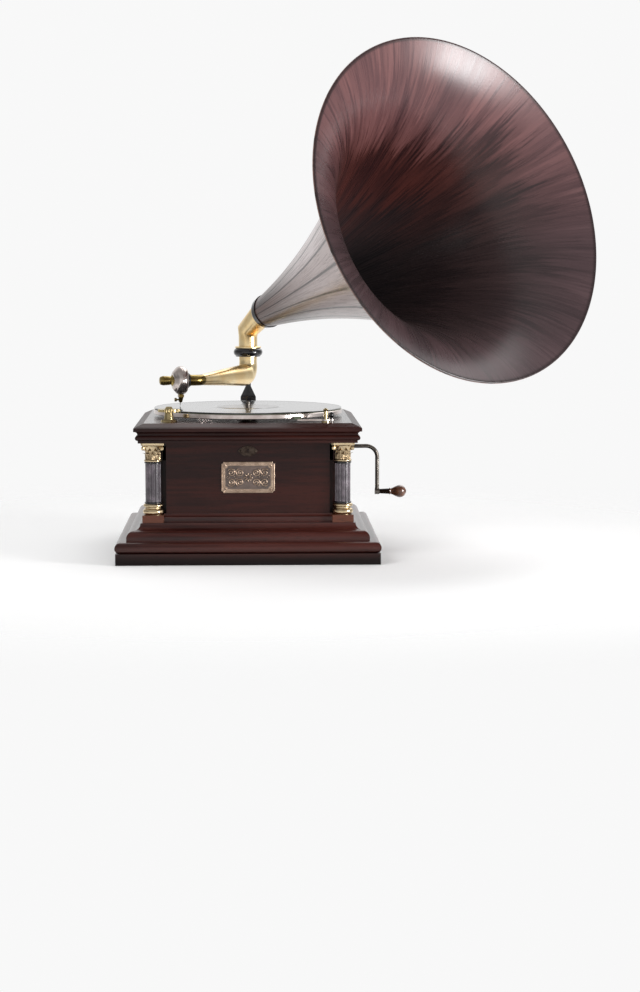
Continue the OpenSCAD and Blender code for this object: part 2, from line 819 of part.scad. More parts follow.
module wrap_spring() {
    last = wrap_turns * wrap_rings;
    n = wrap_sides;
    color(STEEL) translate([bearing_x + bearing_l + wrap_wire, 0, z_crank]) polyhedron(
        [for (i = [0 : last], k = [0 : n - 1]) wrap_point(i, k)],
        concat(
            [for (i = [0 : last - 1], k = [0 : n - 1]) let (a = i * n + k, b = i * n + (k + 1) % n) each
                [[a, b, a + n], [b, b + n, a + n]]],
            [for (k = [1 : n - 2]) [0, k + 1, k]],
            [for (k = [1 : n - 2]) [last * n, last * n + k, last * n + k + 1]]
        )
    );
}

module crank_bush() {
    color(BRASS) translate([0, 0, z_crank]) rotate([0, 90, 0]) difference() {
        union() {
            translate([0, 0, inner]) cylinder(r = bush_r, h = wall_t);
            translate([0, 0, hw]) cylinder(r1 = bush_r + 5, r2 = bush_r + 3, h = 2.5);
        }
        translate([0, 0, inner - 1]) cylinder(r = rod_r + run, h = wall_t + 6);
    }
}

// Crank: bent rod with an eye at its foot, grip pin and collar
grip_x = hw + crank_reach;
grip_pin_r = 2.5;
grip_cap = 6;
collar_l = 15;
eye_half = rod_r + 0.5;

module crank_rod() {
    start = hw + 4;
    bend_x = grip_x - crank_bend_r;
    z_grip = z_crank - crank_throw;
    color(STEEL) {
        translate([start, 0, z_crank]) rotate([0, 90, 0]) cylinder(r = rod_r, h = bend_x - start);
        translate([bend_x, 0, z_crank - crank_bend_r]) rotate([90, 0, 0]) rotate_extrude(angle = 90)
            translate([crank_bend_r, 0]) circle(rod_r);
        translate([grip_x, 0, z_grip]) cylinder(r = rod_r, h = crank_throw - crank_bend_r);
        translate([grip_x, 0, z_grip]) rotate([0, 90, 0]) {
            translate([0, 0, -eye_half]) cylinder(r = rod_r + 1.5, h = 2 * eye_half);
            translate([0, 0, eye_half]) cylinder(r1 = rod_r + 0.4, r2 = rod_r + 1.2, h = collar_l);
            cylinder(r = grip_pin_r, h = eye_half + collar_l + gap + grip_l - 2 - grip_cap);
        }
    }
}

// Turned grip, slim at the collar and full towards its end
full_at = 0.62;
neck_r = 4.6;
function grip_radius(t) = t < full_at
    ? neck_r + (grip_r - neck_r) * pow(sin(90 * t / full_at), 1.4)
    : grip_r * sqrt(1 - pow((t - full_at) / (1.02 - full_at), 2));

module crank_grip() {
    start = grip_x + eye_half + collar_l + gap;
    steps = 12;
    color(RED_MAHOGANY) translate([start, 0, z_crank - crank_throw]) rotate([0, 90, 0]) rotate_extrude()
        difference() {
            polygon(concat(
                [[0, 0]], [for (i = [0 : steps]) [grip_radius(i / steps), grip_l * i / steps]], [[0, grip_l]]
            ));
            translate([-1, -1]) square([grip_pin_r + run + 1, grip_l + 1 - grip_cap]);
        }
}

// Governor: shaft with worm, three weights on leaf springs, friction disc, two bearings and the brake arm
gov_r = 2;
gov_square = 2.8;
gov_journal = 1.35;
collar_y = -14;
disc_y = -54;
disc_r = 15;
front_y = -78;
back_y = 13;
hanger_t = 6;

module along_governor() {
    translate([governor_x, 0, z_governor]) rotate([90, 0, 0]) children();
}

module governor_shaft() {
    color(STEEL) along_governor() {
        translate([0, 0, -back_y - hanger_t]) cylinder(r = gov_journal, h = back_y + hanger_t - worm_l / 2);
        translate([-gov_square / 2, -gov_square / 2, -worm_l / 2]) cube([gov_square, gov_square, worm_l]);
        translate([0, 0, worm_l / 2]) cylinder(r = gov_r, h = -front_y + hanger_t - worm_l / 2);
        translate([0, 0, -collar_y]) cylinder(r = 6, h = 6);
    }
}

module governor_worm() {
    twist = -360 * worm_l / worm_lead;
    add = 0.8 * worm_module;
    ded = 1.15 * worm_module;
    wide = 0.36 * 360 / worm_starts;
    color(STEEL) translate([governor_x, 0, z_governor]) rotate([-90, 0, 0]) difference() {
        rotate(twist / 2) linear_extrude(worm_l, center = true, twist = twist, slices = 22, $fn = 4)
            polygon([
                for (i = [0 : worm_starts - 1], p = [[-ded, -0.64], [add, -0.36], [add, 0.36], [-ded, 0.64]])
                    let (a = (i + 0.5) * 360 / worm_starts + p[1] * wide) (worm_r + p[0]) * [cos(a), sin(a)]
            ]);
        cube([gov_square + 2 * fit, gov_square + 2 * fit, worm_l + 2], center = true);
    }
}

// The springs bow outwards from the collar to the disc's hub
spring_in = 5.2;
spring_out = 8.5;
spring_w = 5;
leaf_steel = 0.5;
spring_y0 = -collar_y + 6;
spring_y1 = -disc_y - 8;

module governor_springs() {
    mid = (spring_y0 + spring_y1) / 2;
    path = [[spring_in, spring_y0], [spring_out, mid - 5], [spring_out, mid + 5], [spring_in, spring_y1]];
    color(STEEL) along_governor() for (turn = [0 : 120 : 240]) rotate(turn) rotate([90, 0, 0])
        linear_extrude(spring_w, center = true) polygon(concat(
            path, [for (i = [3 : -1 : 0]) path[i] + [-leaf_steel, 0]]
        ));
}

module governor_weights() {
    mid = (spring_y0 + spring_y1) / 2;
    color(BRASS) along_governor() for (turn = [0 : 120 : 240]) rotate(turn) translate([spring_out, 0, mid])
        rotate([0, 90, 0]) {
            cylinder(r = 4.6, h = 4);
            translate([0, 0, 4]) cylinder(r1 = 4.6, r2 = 3, h = 2);
        }
}

module governor_disc() {
    color(BRASS) along_governor() translate([0, 0, spring_y1]) difference() {
        union() {
            cylinder(r = 6, h = 8);
            translate([0, 0, 8]) cylinder(r = disc_r, h = 2.5);
        }
        translate([0, 0, -1]) cylinder(r = gov_r + run, h = 20);
    }
}

module governor_hanger(y, bore) {
    w = 12;
    difference() {
        translate([governor_x - w / 2, y, z_governor - 6]) cube([w, hanger_t, z_motor - z_governor + 6]);
        translate([governor_x, y - 1, z_governor]) rotate([-90, 0, 0])
            cylinder(r = bore + run, h = hanger_t + 2);
    }
}

module motor_bearings() {
    color(IRON) {
        winding_hanger();
        governor_hanger(back_y, gov_journal);
        governor_hanger(front_y - hanger_t, gov_r);
    }
}

// Brake arm: a flat lever on a post, its pad facing the friction disc, its tail beside the regulator screw
regulator_r = 3;
knob_r = 17;
knob_clear = 4.5;
regulator_x = -(platter_r + knob_clear + knob_r) / sqrt(2);
regulator_y = regulator_x;
arm_post_x = -66;
arm_post_y = -84;
arm_t = 3;
pad_r = 3.5;
pad_y = disc_y - 2.5 - 0.5;

module bar_2d(from, to, w) {
    d = to - from;
    translate(from) rotate(atan2(d[1], d[0])) translate([0, -w / 2]) square([norm(d), w]);
}

module governor_brake() {
    pad_x = governor_x - disc_r * 0.6;
    post = [arm_post_x, arm_post_y];
    tail = [regulator_x + 2, regulator_y + regulator_r + 2 + 0.6];
    z_arm = z_governor - arm_t / 2;
    color(STEEL) {
        translate([0, 0, z_arm]) linear_extrude(arm_t) difference() {
            union() {
                translate(post) circle(5);
                bar_2d(post, tail, 4);
                bar_2d(post, [pad_x, pad_y - 3.5], 4);
            }
            translate(post) circle(2.5 + run);
        }
        translate([pad_x, pad_y - 1.5, z_governor]) rotate([90, 0, 0]) cylinder(r = pad_r, h = 2);
    }
    color(FELT) translate([pad_x, pad_y, z_governor]) rotate([90, 0, 0]) cylinder(r = pad_r, h = 1.5);
}

// Speed regulator on the lid
module regulator_dial() {
    color(BRASS) {
        translate([regulator_x, regulator_y, z_lid]) difference() {
            cylinder(r1 = 13, r2 = 11.5, h = 3);
            translate([0, 0, -1]) cylinder(r = regulator_r + run, h = 6);
        }
        translate([arm_post_x, arm_post_y, z_governor - arm_t / 2 - 3]) {
            cylinder(r = 2.5, h = z_motor - z_governor + arm_t / 2 + 3);
            cylinder(r = 4, h = 2.7);
        }
    }
}

module regulator_knob() {
    low = z_governor - 6;
    color(BRASS) translate([regulator_x, regulator_y, 0]) {
        translate([0, 0, low]) cylinder(r = regulator_r, h = z_lid + 3 + gap - low);
        translate([0, 0, z_lid + 3 + gap]) cylinder(r1 = 8, r2 = 6, h = 12);
        translate([0, 0, z_lid + 15 + gap]) linear_extrude(4) difference() {
            circle(knob_r);
            for (i = [0 : 29]) rotate(12 * i) translate([knob_r + 0.4, 0]) circle(1.1);
        }
        translate([0, 0, z_lid + 19 + gap]) cylinder(r1 = 7, r2 = 4, h = 4);
    }
}

// Turntable brake on the lid
brake_in = 14;
lever_l = 43.8;
pad_reach = 12;
brake_y = brake_in - platter_r;
brake_end_x = sqrt(pow(platter_r + gap, 2) - brake_y * brake_y) + pad_reach;
brake_x = brake_end_x + lever_l;
brake_post_r = 3;
brake_t = 2.5;
brake_knob_x = 9;
brake_knob_y = 2;
pad_l = 12;
z_brake = z_lid + 1.5 + gap;

module brake_post() {
    color(BRASS) translate([brake_x, brake_y, z_lid]) {
        cylinder(r = 7, h = 1.5);
        cylinder(r = brake_post_r, h = 17);
        translate([0, 0, 17]) cylinder(r1 = brake_post_r, r2 = brake_post_r + 1.2, h = 2);
        translate([0, 0, 19]) cylinder(r1 = brake_post_r + 1.2, r2 = 1, h = 2.5);
    }
}

module brake_lever() {
    post = [brake_x, brake_y];
    end = [brake_end_x, brake_y];
    pad_angle = atan2(brake_y + 3, end[0]);
    knob_at = post + [brake_knob_x, brake_knob_y];
    color(NICKEL) translate([0, 0, z_brake]) linear_extrude(brake_t) difference() {
        union() {
            translate(post) circle(6);
            bar_2d(post, end, 5);
            bar_2d(post, knob_at, 5);
            translate(knob_at) circle(3.5);
        }
        translate(post) circle(brake_post_r + run);
    }
    color(FELT) intersection() {
        translate([0, 0, z_brake + brake_t - 0.5]) rotate(pad_angle)
            translate([platter_r + gap, -pad_l / 2, 0]) cube([5, pad_l, 4.5]);
        translate([0, 0, z_brake]) difference() {
            cylinder(r = platter_r + 20, h = 10, $fn = 128);
            translate([0, 0, -1]) cylinder(r = platter_r + gap, h = 12, $fn = 128);
        }
    }
}

module brake_knob() {
    ball_r = 4.5;
    ball_z = 6.5;
    stalk_r = 2;
    flat = 0.1;
    color(BLACK) translate([brake_x + brake_knob_x, brake_y + brake_knob_y, z_brake + brake_t])
        rotate_extrude() intersection() {
            square([ball_r, ball_z + ball_r - flat]);
            union() {
                square([stalk_r, ball_z]);
                translate([0, ball_z]) circle(ball_r);
            }
        }
}

// Bracket on the back of the case: foot plate, swan-necked stem and the ring that carries arm and horn
foot_w = 48;
foot_h = 66;
foot_t = 6;
z_foot = z_wall - 14 - foot_h;
screw_r = 2.5;
screw_l = 10;
stem_t = 9;
stem_w = 26;
stem_neck_w = 9;
stem_bend_r = 30;
shelf_z = ring_h / 2;
collar_r = arm_r + 3.4;

module stem_side() {
    back = pivot_y + ring_r + 3;
    arm_z = z_wall - 50;
    difference() {
        union() {
            translate([hw, arm_z]) square([back - stem_bend_r - hw, stem_t]);
            translate([back - stem_t, arm_z + stem_bend_r])
                square([stem_t, z_ring + ring_h - arm_z - stem_bend_r]);
            translate([back - stem_bend_r, arm_z + stem_bend_r]) intersection() {
                circle(stem_bend_r);
                translate([0, -stem_bend_r]) square(stem_bend_r);
            }
        }
        translate([back - stem_bend_r, arm_z + stem_bend_r]) circle(stem_bend_r - stem_t);
        translate([back - stem_bend_r - 1, arm_z + stem_t])
            square([stem_bend_r - stem_t + 1, stem_bend_r - stem_t]);
    }
}

module stem_front() {
    z_wide = z_lid + 17;
    z_neck = z_lid + 35;
    polygon([
        [-stem_w / 2, 0], [stem_w / 2, 0], [stem_w / 2, z_wide], [stem_neck_w / 2, z_neck],
        [stem_neck_w / 2, z_ring - 25], [stem_w / 2, z_ring], [stem_w / 2, z_ring + ring_h],
        [-stem_w / 2, z_ring + ring_h], [-stem_w / 2, z_ring], [-stem_neck_w / 2, z_ring - 25],
        [-stem_neck_w / 2, z_neck], [-stem_w / 2, z_wide]
    ]);
}

module horn_bracket() {
    color(BLACK) difference() {
        union() {
            intersection() {
                rotate([90, 0, 90]) linear_extrude(2 * stem_w, center = true) stem_side();
                translate([0, 2 * pivot_y, 0]) rotate([90, 0, 0]) linear_extrude(2 * pivot_y) stem_front();
            }
            translate([-foot_w / 2, hw, z_foot]) cube([foot_w, foot_t, foot_h]);
            translate([0, pivot_y, z_ring]) rotate_extrude($fn = 96) intersection() {
                square([ring_r, ring_h]);
                union() {
                    square([ring_r - ring_h / 4, ring_h]);
                    translate([ring_r - ring_h / 2, ring_h / 2]) circle(ring_h / 2);
                }
            }
        }
        translate([0, pivot_y, z_ring - 1]) cylinder(r = arm_r + run, h = ring_h + 2);
        translate([0, pivot_y, z_ring + shelf_z]) cylinder(r = collar_r + run, h = ring_h);
        bracket_holes(screw_r + fit);
    }
}

module bracket_holes(r) {
    for (x = [-1, 1], z = [10, foot_h - 10])
        translate([x * (foot_w / 2 - 8), hw - screw_l, z_foot + z]) rotate([-90, 0, 0])
            cylinder(r = r, h = screw_l + foot_t);
}

module bracket_screws() {
    head_r = 1.8 * screw_r;
    color(STEEL) {
        intersection() {
            bracket_holes(screw_r);
            translate([-foot_w, hw, 0]) cube([2 * foot_w, foot_t, z_wall]);
        }
        translate([0, screw_l + foot_t, 0]) intersection() {
            bracket_holes(head_r);
            translate([-foot_w, hw - screw_l, 0]) cube([2 * foot_w, screw_r, z_wall]);
        }
    }
}

// Hollow tube swept along a plane path. Each station is
// [along, up, heading angle, outer radius, inner radius, stretch of the ring where it lies in a mitre]
function ring_points(st, r, n) = [
    for (k = [0 : n - 1]) let (a = 360 * k / n, h = r * cos(a) * st[5])
        [st[0] - h * sin(st[2]), r * sin(a), st[1] + h * cos(st[2])]
];

module swept_tube(stations, n) {
    count = len(stations);
    inside = count * n;
    end = (count - 1) * n;
    points = concat(
        [for (st = stations) each ring_points(st, st[3], n)],
        [for (st = stations) each ring_points(st, st[4], n)]
    );
    outer_faces = [for (i = [0 : count - 2], k = [0 : n - 1])
        let (a = i * n + k, b = i * n + (k + 1) % n) each [[a, b, b + n], [a, b + n, a + n]]];
    inner_faces = [for (f = outer_faces) [inside + f[0], inside + f[2], inside + f[1]]];
    end_faces = [for (k = [0 : n - 1]) let (a = k, b = (k + 1) % n) each [
        [a, inside + a, inside + b], [a, inside + b, b],
        [end + a, end + b, inside + end + b], [end + a, inside + end + b, inside + end + a]
    ]];
    faces = concat(outer_faces, inner_faces, end_faces);
    polyhedron(points, faces);
}

// Tone arm: upright in the ring, a bend, then a long taper to the tip
arm_top = z_ring + shelf_z + 2;
spigot_low = z_ring - 6;
spigot_lap = 2;
bend_z = spigot_low - 12.5;
arm_tip_z = bend_z - arm_bend_r + arm_rise;
arm_mid_r = 14.4;

function arm_station(t) = let (
    reach = arm_len - arm_bend_r,
    up = bend_z - arm_bend_r + arm_rise * t * t * (3 - 2 * t),
    slope = atan(arm_rise * 6 * t * (1 - t) / reach),
    r = arm_mid_r + (arm_tip_r - arm_mid_r) * t
) [arm_bend_r + reach * t, up, slope, r, r - tube_wall, 1];

module tone_arm() {
    stations = concat(
        [[0, spigot_low + spigot_lap, -90, arm_r - tube_wall / 4, arm_r - 1.25 * tube_wall, 1]],
        [for (i = [0 : 7]) let (h = -90 + 90 * i / 8, r = arm_r + (arm_mid_r - arm_r) * i / 8)
            [arm_bend_r + arm_bend_r * sin(h), bend_z - arm_bend_r * cos(h), h, r, r - tube_wall, 1]],
        [for (i = [0 : 8]) arm_station(i / 8)]
    );
    color(GOLD) translate([0, pivot_y, 0]) {
        rotate(arm_heading) swept_tube(stations, 28);
        rotate_extrude() polygon([
            [arm_r - tube_wall, spigot_low], [arm_r, spigot_low], [arm_r, z_ring + shelf_z],
            [collar_r, z_ring + shelf_z], [collar_r, arm_top], [arm_r - tube_wall, arm_top]
        ]);
    }
}

// Crook: carries on from the arm's tip and turns towards the sound box
crook_end = 8;
tip_x = arm_len * cos(arm_heading);
tip_y = pivot_y + arm_len * sin(arm_heading);
box_heading = arm_heading - crook_turn;
bend_x = tip_x + crook_bend_r * (sin(arm_heading) - sin(box_heading));
bend_y = tip_y + crook_bend_r * (cos(box_heading) - cos(arm_heading));
seat_x = bend_x + crook_end * cos(box_heading);
seat_y = bend_y + crook_end * sin(box_heading);
pivot_tube_r = arm_tip_r - 1.3;
pivot_tube_l = 7;

module crook() {
    outer = arm_tip_r + 0.5;
    bore = arm_tip_r - tube_wall;
    plug_l = 2;
    plug_in = 0.5;
    path = concat(
        [for (i = [0 : 6]) let (h = -crook_turn * i / 6)
            [-crook_bend_r * sin(h), crook_bend_r * (cos(h) - 1), h]],
        [[crook_bend_r * sin(crook_turn) + crook_end * cos(crook_turn),
            crook_bend_r * (cos(crook_turn) - 1) - crook_end * sin(crook_turn), -crook_turn]]
    );
    color(BRASS) {
        translate([tip_x, tip_y, arm_tip_z]) rotate(arm_heading) rotate([-90, 0, 0])
            swept_tube([for (q = path) [q[0], q[1], q[2], outer, bore, 1]], 20);
        at_box() rotate([0, 90, 0]) translate([0, 0, -plug_l - plug_in]) difference() {
            union() {
                cylinder(r = arm_tip_r - 0.4, h = plug_l);
                cylinder(r = pivot_tube_r, h = pivot_tube_l + plug_l + plug_in);
            }
            translate([0, 0, -1]) cylinder(r = pivot_tube_r - tube_wall, h = pivot_tube_l + 2 * plug_l + 2);
        }
    }
}

module at_box() {
    translate([seat_x, seat_y, arm_tip_z]) rotate(box_heading) children();
}

// Sound box: rubber back flange, nickel shell, diaphragm between gaskets, domed front with its boss
flange_l = 5;
box_t = 18;
dome_h = 5;
boss_r = 7.7;
x_dome = flange_l + box_t + dome_h;
cavity_r = box_r - 5;
stud_r = 4;
disc_t = 0.8;
disc_x = flange_l + box_t / 2;

module box_rubbers() {
    gasket = box_t / 2 - 4 - disc_t / 2;
    color(BLACK) at_box() rotate([0, 90, 0]) {
        rotate_extrude() polygon([
            [pivot_tube_r + run, gap], [11, gap], [12, 1.5], [12, flange_l], [pivot_tube_r + run, flange_l]
        ]);
        for (x = [disc_x - disc_t / 2 - gasket, disc_x + disc_t / 2]) translate([0, 0, x]) difference() {
            cylinder(r = cavity_r - fit, h = gasket);
            translate([0, 0, -1]) cylinder(r = cavity_r - 4, h = gasket + 2);
        }
    }
}

module sound_box() {
    half = box_t / 2;
    color(NICKEL) at_box() rotate([0, 90, 0]) rotate_extrude() polygon(concat(
        [[pivot_tube_r + run, flange_l]],
        [for (a = [-60 : 15 : 60])
            [box_r - half * (1 - cos(a)), flange_l + half + half * sin(a) / sin(60)]],
        [
            [boss_r + 3, x_dome], [stud_r, x_dome], [stud_r, x_dome - 2], [boss_r + 1, x_dome - 2],
            [cavity_r - 4, flange_l + box_t - 2], [cavity_r, flange_l + box_t - 4], [cavity_r, flange_l + 4],
            [pivot_tube_r + run, flange_l + 3]
        ]
    ));
}

module diaphragm() {
    color(NICKEL) at_box() rotate([0, 90, 0]) translate([0, 0, disc_x - disc_t / 2])
        cylinder(r = cavity_r - fit, h = disc_t);
}

module box_boss() {
    color(BRASS) at_box() rotate([0, 90, 0]) translate([0, 0, x_dome]) rotate_extrude() polygon([
        [0, -2], [stud_r - fit, -2], [stud_r - fit, 0], [boss_r + 1.5, 0], [boss_r - 1.2, 2.5],
        [boss_r - 0.5, 6], [boss_r, boss_l - 6], [boss_r - 1.5, boss_l - 1],
        [boss_r - 4, boss_l], [0, boss_l]
    ]);
}

// Needle bar: chuck below the shell's rim, thumb screw and needle
chuck_l = 8;
lug_h = 4;
needle_l = (arm_tip_z - box_r - lug_h - z_play - gap) / cos(needle_lean) - chuck_l;

module needle_bar() {
    color(BRASS) at_box() translate([disc_x, 0, 0]) {
        difference() {
            translate([-4, -5, -box_r - lug_h]) cube([8, 10, lug_h + 2]);
            translate([-5, 0, 0]) rotate([0, 90, 0]) cylinder(r = box_r, h = 10);
        }
        translate([0, 0, -box_r - lug_h]) rotate([-needle_lean, 0, 0]) translate([0, 0, -chuck_l]) {
            cylinder(r1 = 3, r2 = 4.2, h = chuck_l + 1.5);
            translate([0, 0, 3.5]) rotate([0, 90, 0]) cylinder(r = 1.4, h = 8);
            translate([7, 0, 3.5]) rotate([0, 90, 0]) cylinder(r = 3, h = 3);
            translate([0, 0, -needle_l]) cylinder(r1 = 0.25, r2 = 0.8, h = needle_l);
        }
    }
}

// Horn
foot_flange_t = 2.5;
z_elbow = z_ring + ring_h + foot_flange_t;
mitre_z = z_elbow + elbow_upright;
elbow_end_r = throat_r - horn_wall - slack;
horn_z = mitre_z + horn_rise;
elbow_lap = 8;
elbow_lead = 8;

module horn_elbow() {
    grow = elbow_end_r - elbow_r;
    flange_bore = elbow_r - tube_wall / 2;
    knee_u = horn_reach - elbow_lead * cos(horn_tilt);
    knee_z = horn_z - elbow_lead * sin(horn_tilt);
    cone_tilt = atan2(knee_z - mitre_z, knee_u);
    mitre_a = (90 + cone_tilt) / 2;
    knee_a = (cone_tilt + horn_tilt) / 2;
    widths = [elbow_r, elbow_r, elbow_r + 0.25 * grow, elbow_r + 0.9 * grow, elbow_end_r];
    path = [
        [0, z_elbow - 2, 90, 1],
        [0, mitre_z - elbow_r * 0.7, 90, 1],
        [0, mitre_z, mitre_a, 1 / cos(90 - mitre_a)],
        [knee_u, knee_z, knee_a, 1 / cos(cone_tilt - knee_a)],
        [horn_reach + elbow_lap * cos(horn_tilt), horn_z + elbow_lap * sin(horn_tilt), horn_tilt, 1]
    ];
    stations = [for (i = [0 : len(path) - 1]) let (q = path[i])
        [q[0], q[1], q[2], widths[i], widths[i] - tube_wall, q[3]]];
    color(GOLD) translate([0, pivot_y, 0]) {
        rotate(horn_heading) swept_tube(stations, 28);
        rotate_extrude() polygon([
            [flange_bore, arm_top + gap], [collar_r, arm_top + gap], [collar_r, z_ring + ring_h],
            [ring_r - 2.5, z_ring + ring_h], [ring_r - 2.5, z_elbow], [flange_bore, z_elbow]
        ]);
    }
}

module at_horn() {
    translate([0, pivot_y, 0]) rotate(horn_heading) translate([horn_reach, 0, horn_z])
        rotate([0, 90 - horn_tilt, 0]) children();
}

// The bell follows a gentle curve with a quick flare at the lip
body_slope = 0.155;
lip_power = 13;
body_curve = (mouth_r - throat_r - body_slope * horn_len - lip_flare) / (horn_len * horn_len);
function bell_r(s) = throat_r + body_slope * s + body_curve * s * s
    + lip_flare * pow(s / horn_len, lip_power);
function bell_slope(s) = body_slope + 2 * body_curve * s
    + lip_flare * lip_power / horn_len * pow(s / horn_len, lip_power - 1);

bell_steps = 26;
along = [for (i = [0 : bell_steps]) horn_len * (1 - pow(1 - i / bell_steps, 1.5))];

// Dark ring where the elbow enters the bell
ferrule_l = 9;
ferrule_t = 1.6;
ferrule_lap = 2;

module horn_ferrule() {
    bore = throat_r - horn_wall + fit;
    lap_r = throat_r + (bell_r(along[1]) - throat_r) * ferrule_l / along[1];
    color(BLACK) at_horn() rotate_extrude() polygon([
        [bore, -ferrule_lap], [throat_r + ferrule_t / 2, -ferrule_lap], [throat_r + ferrule_t, 0],
        [lap_r + ferrule_t, ferrule_l], [lap_r + fit, ferrule_l], [throat_r + fit, 0], [bore, 0]
    ]);
}

// The bell's wall is built of bent staves, glued edge to edge
module bell_section() {
    polygon(concat(
        [for (s = along) [bell_r(s), s]],
        [for (i = [bell_steps : -1 : 1]) let (s = along[i], a = atan(bell_slope(s)))
            [bell_r(s) - horn_wall * cos(a), s + horn_wall * sin(a)]],
        [[throat_r - horn_wall, 0]]
    ));
}

module horn_bell() {
    color(RED_MAHOGANY) at_horn() difference() {
        rotate_extrude($fn = 128) bell_section();
        for (i = [0 : staves / 2 - 1]) rotate((i + 0.5) * 360 / staves)
            cube([2 * mouth_r + 20, glue_line, 3 * horn_len], center = true);
    }
}

plinth();
base_board();
front_panel();
back_panel();
left_panel();
right_panel();
corner_posts();
column_blocks();
column_bases();
column_shafts();
column_capitals();
lid_frame();
motor_board();
lid_hinges();
name_plate();
lock_plate();
platter();
platter_felt();
record();
spindle();
spindle_pinion();
governor_wheel();
motor_plate();
lower_plate();
motor_pillars();
spring_barrel();
mainspring();
great_wheel();
barrel_arbor();
crown_wheel();
winding_shaft();
winding_pinion();
wrap_spring();
crank_bush();
crank_rod();
crank_grip();
governor_shaft();
governor_worm();
governor_weights();
governor_springs();
governor_disc();
motor_bearings();
governor_brake();
regulator_dial();
regulator_knob();
brake_post();
brake_lever();
brake_knob();
horn_bracket();
bracket_screws();
tone_arm();
crook();
box_rubbers();
sound_box();
diaphragm();
box_boss();
needle_bar();
horn_elbow();
horn_ferrule();
horn_bell();
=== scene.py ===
import json
import math

import bmesh
import bpy
from mathutils import Matrix, Vector

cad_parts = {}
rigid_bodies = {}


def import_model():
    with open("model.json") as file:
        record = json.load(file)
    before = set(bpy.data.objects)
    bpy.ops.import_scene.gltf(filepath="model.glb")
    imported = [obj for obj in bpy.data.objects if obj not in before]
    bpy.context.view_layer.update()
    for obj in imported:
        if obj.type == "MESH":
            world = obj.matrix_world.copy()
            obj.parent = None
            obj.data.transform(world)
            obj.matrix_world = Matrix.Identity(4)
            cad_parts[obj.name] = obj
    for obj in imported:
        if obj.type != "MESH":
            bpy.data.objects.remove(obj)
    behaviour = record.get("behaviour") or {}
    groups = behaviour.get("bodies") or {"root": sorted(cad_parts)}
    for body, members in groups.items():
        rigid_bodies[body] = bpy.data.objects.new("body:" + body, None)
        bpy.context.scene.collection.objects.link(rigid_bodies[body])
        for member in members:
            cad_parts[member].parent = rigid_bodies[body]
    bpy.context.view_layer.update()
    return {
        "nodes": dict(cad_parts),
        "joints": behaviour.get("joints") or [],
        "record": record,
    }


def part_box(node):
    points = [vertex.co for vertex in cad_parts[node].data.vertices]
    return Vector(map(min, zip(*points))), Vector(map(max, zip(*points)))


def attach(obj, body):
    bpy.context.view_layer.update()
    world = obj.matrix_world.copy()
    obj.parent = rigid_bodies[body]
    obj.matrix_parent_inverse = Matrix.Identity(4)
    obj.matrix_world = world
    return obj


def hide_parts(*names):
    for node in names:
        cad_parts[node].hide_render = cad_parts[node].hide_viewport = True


for startup_object in list(bpy.data.objects):
    bpy.data.objects.remove(startup_object)
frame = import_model()

MM = 0.001
QUARTER = math.pi / 2
FULL_TURN = 2 * math.pi
X, Y, Z = range(3)


def span(node, axis):
    """Where a node of the frame starts and ends along an axis, in millimetres."""
    low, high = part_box(node)
    return low[axis] / MM, high[axis] / MM


def middle(node, axis):
    return sum(span(node, axis)) / 2


# Places that the frame gives, in millimetres
PIVOTS = {joint["name"]: [part / MM for part in joint["pos_m"]] for joint in frame["joints"]}
PIVOT_Y = PIVOTS["arm_swing"][Y]
ARM_Z = PIVOTS["soundbox_turn"][Z]
CASE_HALF = -span("front_panel", Y)[0]
PLINTH_TOP = span("column_blocks", Z)[0]
LID_TOP = span("lid_frame", Z)[1]
RECORD_LOW, RECORD_TOP = span("record", Z)
CAPITAL_LOW, CAPITAL_TOP = span("column_capitals", Z)
ARM_TOP = span("tone_arm", Z)[1]
RING_TOP = span("horn_bracket", Z)[1]
PLATE_Z = middle("name_plate", Z)
LOCK_Z = middle("lock_plate", Z)

# Driving sizes of the arm, the horn, the record and the columns, in millimetres and radians
ARM_HEADING = math.radians(245.4)
ARM_LENGTH = 180.5
CROOK_TURN = math.radians(50.4)
HORN_HEADING = math.radians(-54.4)
HORN_TILT = math.radians(18.1)
HORN_REACH = 49
HORN_Z = 375
HORN_LENGTH = 518.8
RING_BORE = 18.4
TUBE_WALL = 1.2
RECORD_RADIUS = 150
SPINDLE_HOLE = 3.8
BLOCK_IN = 129
SHAFT_RADIUS = 12.2

# Seams seen on the horn's outside: how many staves, and the first seam's place as a share of one
STAVES = 20
STAVE_START = 0.83

# Slack for telling a face above a level from one at it, in millimetres
LEVEL_SLACK = 0.1


def tone(red, green, blue):
    """A linear colour from 8-bit values as they show on a screen."""
    return tuple((c / 255) ** 2.2 for c in (red, green, blue)) + (1.0,)


